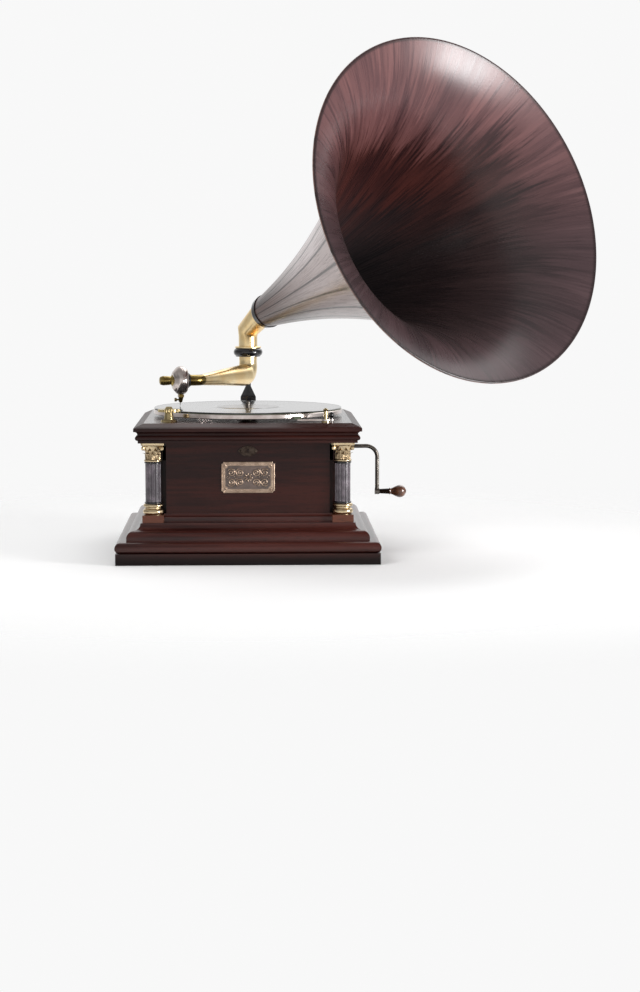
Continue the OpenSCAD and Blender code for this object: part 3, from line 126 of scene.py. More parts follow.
class Wire:
    """One output of a node. Sums and products of wires become Math nodes in the same tree."""

    def __init__(self, socket):
        self.socket = socket
        self.tree = socket.id_data

    @classmethod
    def node(cls, tree, kind, values=(), out=0, **settings):
        """Adds a node: its settings first, then its inputs, each a value or a wire."""
        made = tree.nodes.new(kind)
        for name, value in settings.items():
            setattr(made, name, value)
        for key, value in dict(values).items():
            if isinstance(value, Wire):
                tree.links.new(value.socket, made.inputs[key])
            else:
                made.inputs[key].default_value = value
        return cls(made.outputs[out])

    def also(self, name):
        """Another output of the same node."""
        return Wire(self.socket.node.outputs[name])

    def math(self, operation, *others):
        return Wire.node(self.tree, "ShaderNodeMath", enumerate((self, *others)), operation=operation)

    def __add__(self, other):
        return self.math("ADD", other)

    __radd__ = __add__

    def __mul__(self, other):
        return self.math("MULTIPLY", other)

    __rmul__ = __mul__

    def __sub__(self, other):
        return self.math("SUBTRACT", other)

    def __rsub__(self, other):
        return self * -1 + other

    def __truediv__(self, other):
        return self.math("DIVIDE", other)

    def __rtruediv__(self, other):
        return self ** -1 * other

    def __pow__(self, other):
        return self.math("POWER", other)

    def clamped(self, low, high):
        """0 below low, 1 above high, straight between."""
        return Wire.node(self.tree, "ShaderNodeMapRange", {0: self, 1: low, 2: high})

    def rise(self, low, high):
        """0 below low, 1 above high, smooth between."""
        return Wire.node(self.tree, "ShaderNodeMapRange", {0: self, 1: low, 2: high},
                         interpolation_type="SMOOTHSTEP")

    def mix(self, dark, light):
        """The colour this far from dark to light."""
        return Wire.node(self.tree, "ShaderNodeMix", {0: self, 6: dark, 7: light}, 2, data_type="RGBA")

    def parts(self):
        split = Wire.node(self.tree, "ShaderNodeSeparateXYZ", {0: self})
        return [Wire(socket) for socket in split.socket.node.outputs]

    def noise(self, scale, detail=3.0, roughness=0.55):
        return Wire.node(self.tree, "ShaderNodeTexNoise",
                         {"Vector": self, "Scale": scale, "Detail": detail, "Roughness": roughness})


def point(x, y, z):
    """A vector wire from three parts, at least one of them a wire."""
    tree = next(part.tree for part in (x, y, z) if isinstance(part, Wire))
    return Wire.node(tree, "ShaderNodeCombineXYZ", {0: x, 1: y, 2: z})


def distance(x, y):
    """How far a point lies from an upright axis, as a wire."""
    return (x * x + y * y) ** 0.5


class Finish:
    """A material with one Principled shader. Its place wire is the point in the frame, in metres."""

    def __init__(self, name, colour, **constants):
        self.material = bpy.data.materials.new(name)
        self.material.use_nodes = True
        self.tree = self.material.node_tree
        self.shader = self.tree.nodes["Principled BSDF"]
        self.shader.inputs["Base Color"].default_value = colour
        for key, value in constants.items():
            socket = key.replace("_", " ").title().replace("Ior", "IOR")
            self.shader.inputs[socket].default_value = value
        self.place = Wire.node(self.tree, "ShaderNodeTexCoord", out="Object")

    def attribute(self, name, out="Vector"):
        return Wire.node(self.tree, "ShaderNodeAttribute", out=out, attribute_name=name)

    def vary(self, socket, wire):
        self.tree.links.new(wire.socket, self.shader.inputs[socket])

    def relief(self, height, depth, strength):
        """Bumps so deep, in metres."""
        bump = Wire.node(self.tree, "ShaderNodeBump",
                         {"Height": height, "Distance": depth, "Strength": strength})
        self.vary("Normal", bump)


def wood(name, dark, light, polish, foot=None, lit_block=None):
    """Polished mahogany: soft clouds, long fibres and short pores along each board. The lid's top is
    glossiest. With a foot colour the lowest moulding is painted dark and dull near the floor, a painted
    shade, and with a lit block colour the corner blocks are painted lighter, a painted light."""
    foot_low, foot_high, block_share = 4, 28, 0.7
    finish = Finish(name, dark, specular_ior_level=0.2, coat_roughness=0.2, coat_ior=1.35)
    x, y, z = finish.place.parts()
    height = z / MM
    far_x, far_y = x.math("ABSOLUTE"), y.math("ABSOLUTE")
    side_board = far_x.math("GREATER_THAN", far_y)
    along = x + side_board * (y - x)
    across = y + side_board * (x - y)

    def grain(run, width, detail):
        """Noise with so many waves a metre along the board and across it."""
        return point(along * run, across * width, z * width).noise(1.0, detail)

    cloud = grain(3, 16, 2.0)
    fibre = grain(9, 160, 4.0)
    pores = grain(70, 1100, 1.0).rise(0.6, 0.75)
    figure = (cloud * 0.55 + fibre * 0.45).rise(0.36, 0.66)
    board = figure.mix(dark, light)
    lid_top = height.math("GREATER_THAN", LID_TOP - LEVEL_SLACK)
    shine = polish + lid_top * (1 - polish)
    if foot:
        # painted shade: the foot colour darkens the lowest moulding towards the floor
        above_foot_shade = height.rise(foot_low, foot_high)
        board = above_foot_shade.mix(foot, board)
        shine = shine * above_foot_shade
        # painted light: the corner blocks are tinted lighter and oranger, as they show lit
        corner = far_x.math("MINIMUM", far_y).math("GREATER_THAN", BLOCK_IN * MM)
        on_block = height.math("GREATER_THAN", PLINTH_TOP + LEVEL_SLACK) * corner
        board = (on_block * block_share).mix(board, lit_block)
    finish.vary("Base Color", (pores * 0.6).mix(board, tone(14, 8, 7)))
    finish.vary("Roughness", 0.36 + fibre * 0.14)
    finish.vary("Coat Weight", shine)
    finish.relief(fibre * 0.3 - pores, 0.00005, 0.5)
    return finish.material


def metal(name, colour, shade, roughness, grain=40.0):
    """Polished metal with soft tarnish and a slightly uneven polish."""
    unevenness = 0.12
    finish = Finish(name, colour, metallic=1.0)
    tarnish = finish.place.noise(grain, 4.0).rise(0.3, 0.72)
    finish.vary("Base Color", tarnish.mix(shade, colour))
    finish.vary("Roughness", roughness + (finish.place.noise(grain * 9, 3.0) - 0.5) * unevenness)
    return finish.material


def gloss(name, colour, roughness, tint):
    """Black japan, ebonised wood, enamel, paper or rubber: a dark coat with a faint uneven polish."""
    finish = Finish(name, colour, coat_weight=0.6, coat_roughness=0.08)
    cloud = finish.place.noise(60.0, 3.0)
    finish.vary("Base Color", cloud.rise(0.35, 0.7).mix(colour, tint))
    finish.vary("Roughness", roughness + (cloud - 0.5) * 0.1)
    return finish.material


def horn_inside(length, upward, figure, flame, fine):
    """Ragged flames from the grey throat to the lip, redder above, and a dark line at the rim. Painted
    light and shade: the throat is paler against its shade, the upper lip lighter as lit and the lower lip
    darker as shaded.
    """
    # upper side: partly its own redder figure, partly painted light; the lower side is painted shade
    upper_lit = upward.rise(-0.3, 0.9)
    ragged = length + (fine - 0.5) * 0.09 + (flame - 0.5) * 0.12 + upward.rise(0.6, 1.0) * 0.05
    # painted light: the throat colours are paler than the waist to offset the throat's shade
    throat = figure.mix(tone(55, 53, 55), tone(75, 70, 71))
    lower_waist = figure.mix(tone(47, 40, 41), tone(70, 57, 57))
    upper_waist = figure.mix(tone(40, 25, 26), tone(80, 45, 41))
    shaded_lower_lip = figure.mix(tone(49, 38, 40), tone(69, 54, 56))
    lit_upper_lip = figure.mix(tone(76, 52, 55), tone(114, 78, 77))
    rim_line = length.rise((HORN_LENGTH - 2.3) * MM, (HORN_LENGTH - 0.2) * MM) * 0.8
    colour = ragged.rise(0.12, 0.4).mix(throat, upper_lit.mix(lower_waist, upper_waist))
    colour = ragged.rise(0.42, 0.52).mix(colour, upper_lit.mix(shaded_lower_lip, lit_upper_lip))
    return rim_line.mix(colour, tone(34, 25, 26))


def horn_outside(length, streak, stave, seam):
    """Brown at the ferrule, painted pale in the middle as a reflection of the white surround, and warm at
    the rim, with a dark seam at each stave.
    """
    stave_tint = point(stave.math("FLOOR") * 3.7, 0.5, 0.5).noise(1.0, 0.0).rise(0.4, 0.6)
    near_ferrule = streak.mix(tone(48, 37, 36), tone(84, 68, 66))
    # painted reflection: the pale middle stands in for the white surround mirrored in the varnish
    painted_sheen_middle = streak.mix(tone(158, 138, 137), tone(212, 197, 197))
    near_rim = streak.mix(tone(98, 68, 60), tone(150, 112, 102))
    colour = length.rise(0.03, 0.26).mix(near_ferrule, painted_sheen_middle)
    colour = length.rise(0.24, 0.48).mix(colour, near_rim)
    colour = (stave_tint * 0.35).mix(colour, tone(130, 96, 84))
    return (seam * 0.9).mix(colour, tone(40, 30, 28))


def horn_varnish():
    """Varnished staves: threads, fine streaks and broad flames that run along the horn."""
    finish = Finish("horn_wood", tone(70, 40, 36),
                    specular_ior_level=0.35, coat_ior=1.9, coat_roughness=0.3)
    around_x, around_y, length = finish.attribute("grain").parts()
    outside = finish.attribute("outside", "Fac")

    def grain(turns, run, detail, roughness=0.55):
        return point(around_x * turns, around_y * turns, run).noise(1.0, detail, roughness)

    thread = grain(130, length * 14, 3.0)
    fine = grain(34, length * 16, 5.0, 0.62)
    flame = grain(5, length * 12 + fine * 2.5, 3.0)
    figure = (flame * 0.45 + fine * 0.4 + thread * 0.15).rise(0.36, 0.66)
    streak = (fine * 0.6 + thread * 0.4).rise(0.36, 0.64)
    stave = around_y.math("ARCTAN2", around_x) * (STAVES / FULL_TURN) - STAVE_START
    seam = 1 - ((stave + 0.5).math("FRACT") - 0.5).math("ABSOLUTE").rise(0.01, 0.11)

    inner = horn_inside(length, around_x * -1, figure, flame, fine)
    outer = horn_outside(length, streak, stave, seam)
    outer_coat = 0.5 + length.rise(0.03, 0.2) * 0.4 - seam * 0.5
    finish.vary("Base Color", outside.mix(inner, outer))
    finish.vary("Coat Weight", 0.04 + outside * outer_coat)
    finish.vary("Roughness", 0.2 + fine * 0.16)
    finish.relief(fine * 0.5 + thread * 0.3 - seam * outside * 1.5, 0.0002, 0.5)
    return finish.material


def shellac():
    """Pressed record: bands of groove differ a little in sheen."""
    finish = Finish("shellac", tone(20, 20, 22), ior=1.8, coat_weight=0.6, coat_roughness=0.06)
    x, y, _ = finish.place.parts()
    bands = point(distance(x, y) * 420, 0.0, 0.0).noise(1.0, 3.0)
    finish.vary("Base Color", bands.rise(0.35, 0.65).mix(tone(16, 16, 18), tone(30, 29, 31)))
    finish.vary("Roughness", 0.08 + bands * 0.1)
    return finish.material


def felt(name, colour, shade):
    """Short matted pile."""
    finish = Finish(name, colour, roughness=0.95, sheen_weight=0.4)
    pile = finish.place.noise(1500.0, 4.0)
    finish.vary("Base Color", pile.rise(0.3, 0.7).mix(shade, colour))
    finish.relief(pile, 0.0003, 0.6)
    return finish.material


def column_gilt():
    """Gilding with brown glaze left in the hollows towards the column's axis."""
    hollow, proud = 11.6, 15.2
    finish = Finish("gilt", tone(232, 206, 150), metallic=1.0)
    x, y, _ = finish.place.parts()
    from_axis = distance(x.math("ABSOLUTE") - CASE_HALF * MM, y.math("ABSOLUTE") - CASE_HALF * MM)
    cloud = finish.place.noise(220.0, 4.0)
    raised = (from_axis / MM + cloud * 3).rise(hollow, proud)
    finish.vary("Base Color", raised.mix(tone(90, 68, 47), tone(208, 187, 152)))
    finish.vary("Roughness", 0.42 - raised * 0.18)
    return finish.material


def mica():
    """Clear sheet of the diaphragm, with faint flaws."""
    finish = Finish("mica", tone(214, 205, 184), transmission_weight=0.5, ior=1.55)
    finish.vary("Roughness", 0.12 + finish.place.noise(300.0, 3.0) * 0.1)
    return finish.material


def crank_steel(colour, shade):
    """Worn steel rod, blackened at the collar before the grip."""
    collar_start, collar_full = 211, 213
    finish = Finish("crank_steel", colour, metallic=1.0)
    x, _, _ = finish.place.parts()
    cloud = finish.place.noise(40.0, 4.0)
    rod = cloud.rise(0.3, 0.72).mix(shade, colour)
    collar = (x / MM).rise(collar_start, collar_full)
    finish.vary("Base Color", collar.mix(rod, tone(38, 30, 26)))
    finish.vary("Roughness", 0.2 + cloud * 0.12 + collar * 0.15)
    return finish.material


def grip_varnish():
    """Turned and varnished handle, with its grain along the axis."""
    finish = Finish("grip_wood", tone(120, 52, 36), coat_weight=0.9, coat_roughness=0.1)
    x, y, z = finish.place.parts()
    fibre = point(x * 30, y * 500, z * 500).noise(1.0, 4.0)
    finish.vary("Base Color", fibre.rise(0.3, 0.7).mix(tone(46, 24, 11), tone(104, 62, 36)))
    finish.vary("Roughness", 0.3 + fibre * 0.15)
    return finish.material


STEEL, STEEL_SHADE = tone(120, 115, 109), tone(74, 69, 64)
FINISHES = {
    "mahogany": wood("mahogany", tone(31, 13, 11), tone(54, 25, 20), 0.2),
    # red_mahogany: foot is a painted shade near the floor, lit_block a painted light on the corner blocks
    "red_mahogany": wood("red_mahogany", tone(38, 16, 13), tone(65, 32, 27), 0.8,
                         foot=tone(18, 8, 7), lit_block=tone(96, 54, 36)),
    "gilt": column_gilt(),
    # painted reflection: the shafts' grey-lavender tone partly stands in for the white surround mirrored on
    # black gloss
    "ebonised": gloss("ebonised", tone(67, 61, 66), 0.22, tone(104, 95, 102)),
    "gilt_brass": metal("gilt_brass", tone(255, 232, 184), tone(248, 214, 154), 0.3),
    "black_japan": gloss("black_japan", tone(14, 14, 16), 0.22, tone(24, 23, 27)),
    "nickel": metal("nickel", tone(222, 212, 207), tone(186, 172, 166), 0.2),
    "steel": metal("steel", STEEL, STEEL_SHADE, 0.26),
    "brass": metal("brass", tone(206, 188, 142), tone(150, 132, 96), 0.22),
    "olive_brass": metal("olive_brass", tone(178, 156, 96), tone(118, 98, 54), 0.26),
    "plate_brass": metal("plate_brass", tone(188, 165, 145), tone(152, 130, 114), 0.36, 120.0),
    "dark_bronze": metal("dark_bronze", tone(80, 70, 63), tone(50, 42, 38), 0.34, 150.0),
    "iron": metal("iron", tone(84, 84, 86), tone(58, 56, 56), 0.5),
    "felt": felt("felt", tone(98, 104, 86), tone(66, 72, 58)),
    "shellac": shellac(),
    "rubber": gloss("rubber", tone(22, 21, 21), 0.6, tone(34, 32, 31)),
    "mica": mica(),
    "horn_wood": horn_varnish(),
    "grip_wood": grip_varnish(),
}
ENAMEL = gloss("plate_enamel", tone(66, 54, 48), 0.45, tone(92, 76, 68))
LABEL = gloss("label_paper", tone(44, 32, 34), 0.2, tone(60, 40, 40))

for subpart in frame["record"]["subparts"]:
    node_mesh = frame["nodes"][subpart["node"]].data
    node_mesh.materials.clear()
    node_mesh.materials.append(FINISHES[subpart["material_slot"]])
frame["nodes"]["crank_rod"].data.materials[0] = crank_steel(STEEL, STEEL_SHADE)


def turn(angle, axis="Z"):
    return Matrix.Rotation(angle, 4, axis)


def shift(x, y, z):
    return Matrix.Translation((x, y, z))


def bridged(loops, ring=True):
    """Points and faces joining loops in turn: a ring meets its own start, otherwise the ends are capped."""
    size = len(loops[0])
    points = [Vector(p) for loop in loops for p in loop]
    faces = []
    for i in range(len(loops) if ring else len(loops) - 1):
        a, b = i * size, (i + 1) % len(loops) * size
        for k in range(size):
            after = (k + 1) % size
            faces.append((a + k, a + after, b + after, b + k))
    if not ring:
        faces.append(tuple(range(size)))
        faces.append(tuple(range(len(points) - size, len(points))))
    return points, faces


def turned(profile, sides, ring=True):
    """An outline of (radius, height) points turned about Z."""
    turns = [FULL_TURN * k / sides for k in range(sides)]
    return bridged([[(r * math.cos(a), r * math.sin(a), z) for a in turns] for r, z in profile], ring)


def swept_tube(stations, sides):
    """A tube in the XZ plane through stations (along, up, slope, outer radius, inner radius, stretch)."""
    def loop(along, up, slope, radius, stretch):
        points = []
        for k in range(sides):
            angle = FULL_TURN * k / sides
            high = radius * math.cos(angle) * stretch
            points.append((along - high * math.sin(slope),
                           radius * math.sin(angle),
                           up + high * math.cos(slope)))
        return points

    outer = [loop(a, u, s, r, stretch) for a, u, s, r, _, stretch in stations]
    inner = [loop(a, u, s, r, stretch) for a, u, s, _, r, stretch in stations]
    return bridged(outer + inner[::-1])


def extruded(outline, low, high):
    """A flat outline given thickness along Z."""
    return bridged([[(x, y, z) for x, y in outline] for z in (low, high)], False)


def rectangle(left, near, right, far):
    return [(left, near), (right, near), (right, far), (left, far)]


def arc(x, y, radius, start, end, steps):
    """Points on a circle, in degrees."""
    turns = [math.radians(start + (end - start) * i / steps) for i in range(steps + 1)]
    return [(x + radius * math.cos(a), y + radius * math.sin(a)) for a in turns]


def placed(shape, place):
    return [place @ p for p in shape[0]], shape[1]


def joined(shapes):
    points, faces = [], []
    for more_points, more_faces in shapes:
        faces += [tuple(i + len(points) for i in face) for face in more_faces]
        points += more_points
    return points, faces


def seated(piece, body, slot, *nodes):
    """A finished piece on its body, hiding the nodes that it stands for. The slot argument is not used."""
    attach(piece, body)
    if nodes:
        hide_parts(*nodes)
    return piece


def smoothed(mesh, sharp):
    """Faces turned outwards and shaded smooth up to the sharp angle, in degrees."""
    shell = bmesh.new()
    shell.from_mesh(mesh)
    bmesh.ops.recalc_face_normals(shell, faces=shell.faces)
    shell.to_mesh(mesh)
    shell.free()
    mesh.shade_smooth()
    mesh.set_sharp_from_angle(angle=math.radians(sharp))


def in_scene(name, data):
    thing = bpy.data.objects.new(name, data)
    bpy.context.collection.objects.link(thing)
    return thing


def solid(name, shape, finish, sharp=35):
    """An object from points in millimetres and faces."""
    mesh = bpy.data.meshes.new(name)
    mesh.from_pydata([p * MM for p in shape[0]], [], shape[1])
    mesh.materials.append(finish)
    smoothed(mesh, sharp)
    return in_scene(name, mesh)


def evaluated_mesh(piece):
    """The plain mesh that a piece's modifier makes. The modifier is then removed."""
    depsgraph = bpy.context.evaluated_depsgraph_get()
    mesh = bpy.data.meshes.new_from_object(piece.evaluated_get(depsgraph))
    piece.modifiers.clear()
    return mesh


def grown(name, sizes, build, finish, sharp, place=Matrix()):
    """An object grown by Geometry Nodes. sizes are its named inputs in metres, build turns their wires
    into geometry, and place is in millimetres."""
    tree = bpy.data.node_groups.new(name, "GeometryNodeTree")
    tree.interface.new_socket("Geometry", in_out="OUTPUT", socket_type="NodeSocketGeometry")
    kinds = {float: "NodeSocketFloat", bpy.types.Object: "NodeSocketObject"}
    sockets = {}
    for label, value in sizes.items():
        sockets[label] = tree.interface.new_socket(label, in_out="INPUT", socket_type=kinds[type(value)])
    entry = tree.nodes.new("NodeGroupInput")
    wires = {label: Wire(entry.outputs[label]) for label in sizes}
    whole = Wire.node(tree, "GeometryNodeRealizeInstances", {"Geometry": build(tree, wires)})
    painted = Wire.node(tree, "GeometryNodeSetMaterial", {"Geometry": whole, "Material": finish})
    tree.links.new(painted.socket, tree.nodes.new("NodeGroupOutput").inputs["Geometry"])

    piece = in_scene(name, bpy.data.meshes.new(name))
    modifier = piece.modifiers.new(name, "NODES")
    modifier.node_group = tree
    for label, value in sizes.items():
        modifier[sockets[label].identifier] = value
    piece.data = evaluated_mesh(piece)
    place_in_metres = place.copy()
    place_in_metres.translation *= MM
    piece.data.transform(place_in_metres)
    smoothed(piece.data, sharp)
    return piece


def pattern(name, shape):
    """An object that Geometry Nodes repeats, dropped afterwards."""
    return solid(name, shape, FINISHES["brass"])


def dropped(*patterns):
    for thing in patterns:
        bpy.data.objects.remove(thing)


def repeated(points, thing, **more):
    """A pattern's object at each point."""
    shape = Wire.node(points.tree, "GeometryNodeObjectInfo", {"Object": thing}, "Geometry")
    return Wire.node(points.tree, "GeometryNodeInstanceOnPoints", {
        "Points": points, "Instance": shape, **more})


def ring_of(thing, count, radius, place=(0, 0, 0), start=0.0, scale=(1, 1, 1)):
    """A pattern's object repeated round Z, each copy turned outwards."""
    tree = thing.tree
    ring = Wire.node(tree, "GeometryNodeMeshCircle", {"Vertices": count, "Radius": radius})
    ring = Wire.node(tree, "GeometryNodeTransform", {
        "Geometry": ring, "Translation": place, "Rotation": (0, 0, start)})
    angle = Wire.node(tree, "GeometryNodeInputIndex") * (FULL_TURN / count) + start
    return repeated(ring, thing, Rotation=point(0.0, 0.0, angle), Scale=scale)


def together(parts):
    """Several geometries as one."""
    tree = parts[0].tree
    whole = tree.nodes.new("GeometryNodeJoinGeometry")
    for part in parts:
        tree.links.new(part.socket, whole.inputs[0])
    return Wire(whole.outputs[0])


def horn_flare():
    """The bell as one rule: a sheet rolled round the axis, out along the outside and back along the inside
    a wall apart, with rounded ends. It keeps its angle, length and side for the varnish."""
    steps, turns, rim_crowding, flare_power = 190, 224, 1.5, 13
    out_start, out_end, back_start, back_end = 0.02, 0.48, 0.52, 0.98

    def build(tree, size):
        sheet = Wire.node(tree, "GeometryNodeMeshGrid", {
            "Size X": 1.0, "Size Y": 1.0, "Vertices X": steps + 1, "Vertices Y": turns + 1})
        x, y, _ = Wire.node(tree, "GeometryNodeInputPosition").parts()
        t = x + 0.5
        angle = (y + 0.5) * FULL_TURN
        way = t.clamped(out_start, out_end).math("MINIMUM", 1 - t.clamped(back_start, back_end))
        s = (1 - (1 - way) ** rim_crowding) * size["length"]
        roll = ((t.clamped(0.0, out_start) - 1) * 0.5 + t.clamped(out_end, back_start)
                + t.clamped(back_end, 1.0) * 0.5) * math.pi
        share = s / size["full length"]
        radius = (size["throat"] + size["slope"] * s + size["curve"] * s * s
                  + size["flare"] * share ** flare_power)
        rate = (size["slope"] + 2 * size["curve"] * s
                + flare_power * size["flare"] / size["full length"] * share ** (flare_power - 1))
        lean = rate.math("ARCTANGENT")
        lean_cos, lean_sin = lean.math("COSINE"), lean.math("SINE")
        half = size["wall"] * 0.5
        roll_cos, roll_sin = roll.math("COSINE"), roll.math("SINE")
        side = roll_cos - 1
        r = radius + half * (side * lean_cos + roll_sin * lean_sin)
        z = s + half * (roll_sin * lean_cos - side * lean_sin)
        c, d = angle.math("COSINE"), angle.math("SINE")
        rolled = Wire.node(tree, "GeometryNodeStoreNamedAttribute", {
            "Geometry": sheet, "Name": "grain", "Value": point(c, d, s)},
            data_type="FLOAT_VECTOR", domain="POINT")
        rolled = Wire.node(tree, "GeometryNodeStoreNamedAttribute", {
            "Geometry": rolled, "Name": "outside", "Value": roll_cos.clamped(-0.4, 0.4)},
            data_type="FLOAT", domain="POINT")
        rolled = Wire.node(tree, "GeometryNodeSetPosition", {
            "Geometry": rolled, "Position": point(r * c, r * d, z)})
        return Wire.node(tree, "GeometryNodeMergeByDistance", {
            "Geometry": rolled, "Distance": size["weld"]})

    sizes = {"length": HORN_LENGTH * MM, "full length": 0.52, "throat": 0.0255, "slope": 0.155,
             "curve": 0.38425, "flare": 0.060, "wall": 0.004, "weld": 0.01 * MM}
    place = (shift(0, PIVOT_Y, 0) @ turn(HORN_HEADING) @ shift(HORN_REACH, 0, HORN_Z)
             @ turn(QUARTER - HORN_TILT, "Y"))
    piece = grown("horn_flare", sizes, build, FINISHES["horn_wood"], sharp=60, place=place)
    seated(piece, "horn", "horn_wood", "horn_bell")


def horn_elbow():
    """Gilt elbow with a sharp mitre above its foot and a cone that enters the horn."""
    foot = RING_TOP + 2.5
    mitre = foot + 27.5
    radius, end_radius, lead, lap = 15.7, 21.3, 8, 8
    bore, flange_radius, edge = 15.1, 22, 0.8
    spigot_low = ARM_TOP + 0.3
    grow = end_radius - radius

    def on_axis(step):
        """The point so far along the horn's axis from its small end."""
        return HORN_REACH + step * math.cos(HORN_TILT), HORN_Z + step * math.sin(HORN_TILT)

    knee = on_axis(-lead)
    cone_tilt = math.atan2(knee[1] - mitre, knee[0])
    mitre_slope = (QUARTER + cone_tilt) / 2
    knee_slope = (cone_tilt + HORN_TILT) / 2
    path = [
        (0, foot - 2, QUARTER, radius, 1),
        (0, mitre - radius * 0.7, QUARTER, radius, 1),
        (0, mitre, mitre_slope, radius + 0.25 * grow, 1 / math.sin(mitre_slope)),
        (*knee, knee_slope, radius + 0.9 * grow, 1 / math.cos(cone_tilt - knee_slope)),
        (*on_axis(lap), HORN_TILT, end_radius, 1),
    ]
    tube = swept_tube([(a, u, s, r, r - TUBE_WALL, stretch) for a, u, s, r, stretch in path], 96)
    flange = turned([
        (bore, spigot_low), (RING_BORE, spigot_low), (RING_BORE, RING_TOP), (flange_radius, RING_TOP),
        (flange_radius, foot - edge), (flange_radius - edge, foot), (bore, foot)], 96)
    shape = joined([placed(tube, turn(HORN_HEADING)), flange])
    piece = solid("elbow_tube", placed(shape, shift(0, PIVOT_Y, 0)), FINISHES["gilt_brass"], sharp=24)
    seated(piece, "horn", "gilt_brass", "horn_elbow")


def tone_arm():
    """Gilt arm: spigot and collar in the ring, a round bend and a long taper."""
    low, bend, bend_steps, taper_steps = 294, 18.6, 24, 30
    neck, root, tip = 15, 18.2, 8.6
    collar_low, bore = ARM_TOP - 2, neck - TUBE_WALL
    stations = [(0, low + 2, -QUARTER, neck - TUBE_WALL / 4, neck - 1.25 * TUBE_WALL, 1)]
    for i in range(bend_steps):
        slope = QUARTER * (i / bend_steps - 1)
        radius = neck + (root - neck) * i / bend_steps
        along = bend + bend * math.sin(slope)
        up = ARM_Z + bend - bend * math.cos(slope)
        stations.append((along, up, slope, radius, radius - TUBE_WALL, 1))
    for i in range(taper_steps + 1):
        t = i / taper_steps
        radius = root + (tip - root) * t
        stations.append((bend + (ARM_LENGTH - bend) * t, ARM_Z, 0, radius, radius - TUBE_WALL, 1))
    tube = placed(swept_tube(stations, 72), turn(ARM_HEADING))
    collar = turned([(bore, low), (neck, low), (neck, collar_low), (RING_BORE, collar_low),
                     (RING_BORE, ARM_TOP), (bore, ARM_TOP)], 72)
    shape = placed(joined([tube, collar]), shift(0, PIVOT_Y, 0))
    seated(solid("arm_tube", shape, FINISHES["gilt_brass"], sharp=30), "tonearm", "gilt_brass", "tone_arm")


def crook():
    """Brass crook from the arm's tip to the sound box, with a rolled edge at its end."""
    bend, bend_steps, end = 18, 20, 8
    radius, bore, roll = 8.8, 6.1, 0.7
    path = []
    for i in range(bend_steps + 1):
        angle = CROOK_TURN * i / bend_steps
        path.append((bend * math.sin(angle), bend * (math.cos(angle) - 1), -angle))
    along, aside, slope = path[-1]
    for step in (end - 2.4, end - 1.8, end - 0.6, end):
        path.append((along + step * math.cos(slope), aside + step * math.sin(slope), slope))
    stations = [(a, u, s, radius, bore, 1) for a, u, s in path]
    for i in (-3, -2):
        stations[i] = (*path[i], radius + roll, bore, 1)
    tip = (ARM_LENGTH * math.cos(ARM_HEADING), PIVOT_Y + ARM_LENGTH * math.sin(ARM_HEADING), ARM_Z)
    place = shift(*tip) @ turn(ARM_HEADING) @ turn(-QUARTER, "X")
    piece = solid("crook_tube", placed(swept_tube(stations, 56), place), FINISHES["olive_brass"], sharp=30)
    seated(piece, "tonearm", "olive_brass", "crook")


def sound_box_shell():
    """Nickel shell of the sound box: a full round rim with a fine joint, and a domed front."""
    bore, back, dome, front_radius = 6.2, 5, 28, 10.7
    rim, half, rim_arc, joint = 23, 9, 60, 0.35
    dome_steps = 8
    profile = [(bore, back)]
    for degrees in range(-rim_arc, rim_arc + 1, 4):
        a = math.radians(degrees)
        sunk = joint if degrees == 0 else 0
        profile.append((rim - half * (1 - math.cos(a)) - sunk,
                        back + half + half * math.sin(a) / math.sin(math.radians(rim_arc))))
    edge, face = profile[-1]
    for i in range(1, dome_steps + 1):
        t = i / dome_steps
        profile.append((edge + (front_radius - edge) * t, face + (dome - face) * math.sin(t * QUARTER)))
    profile += [(4, dome), (4, dome - 2), (8.7, dome - 2), (14, 21), (18, 19), (18, 9), (bore, 8)]
    place = shift(*PIVOTS["soundbox_turn"]) @ turn(ARM_HEADING - CROOK_TURN) @ turn(QUARTER, "Y")
    piece = solid("box_shell", placed(turned(profile, 96), place), FINISHES["nickel"], sharp=40)
    seated(piece, "soundbox", "nickel", "sound_box")


def record_disc():
    """Record with a raised rim, fine ridges of groove, a smooth run-out and a paper label."""
    hole, groove_start, groove_end, pitch = 3.7, 144.5, 62, 1.2
    paper_edge, paper = 49.6, 0.15
    low, rim = RECORD_LOW, RECORD_TOP
    flat, label_seat = rim - 0.25, rim - 0.1
    profile = [(hole, low), (RECORD_RADIUS - 0.8, low), (RECORD_RADIUS, low + 0.8),
               (RECORD_RADIUS, rim - 0.5), (RECORD_RADIUS - 0.6, rim), (groove_start + 2, rim),
               (groove_start + 1, flat)]
    for i in range(int((groove_start - groove_end) / pitch) + 1):
        radius = groove_start - i * pitch
        profile += [(radius, flat + 0.01), (radius - pitch / 2, flat - 0.01)]
    profile += [(60, flat), (51, flat), (50.4, label_seat), (hole, label_seat)]
    disc = solid("record_disc", turned(profile, 160), FINISHES["shellac"], sharp=50)
    seated(disc, "turntable", "shellac", "record")
    label = turned([(SPINDLE_HOLE, label_seat), (paper_edge, label_seat), (paper_edge, label_seat + paper),
                    (SPINDLE_HOLE, label_seat + paper)], 96)
    seated(solid("record_label", label, LABEL), "turntable", "shellac")


def felt_mat():
    """Felt under the record, cut round the spindle."""
    low, high = span("platter_felt", Z)
    edge, top = RECORD_RADIUS - 1, high - 0.05
    profile = [(SPINDLE_HOLE, low), (edge, low), (edge, top - 0.2), (edge - 0.3, top), (SPINDLE_HOLE, top)]
    mat = solid("felt_mat", turned(profile, 120), FINISHES["felt"], sharp=60)
    seated(mat, "turntable", "felt", "platter_felt")
    area = math.pi * (edge ** 2 - SPINDLE_HOLE ** 2) * MM * MM


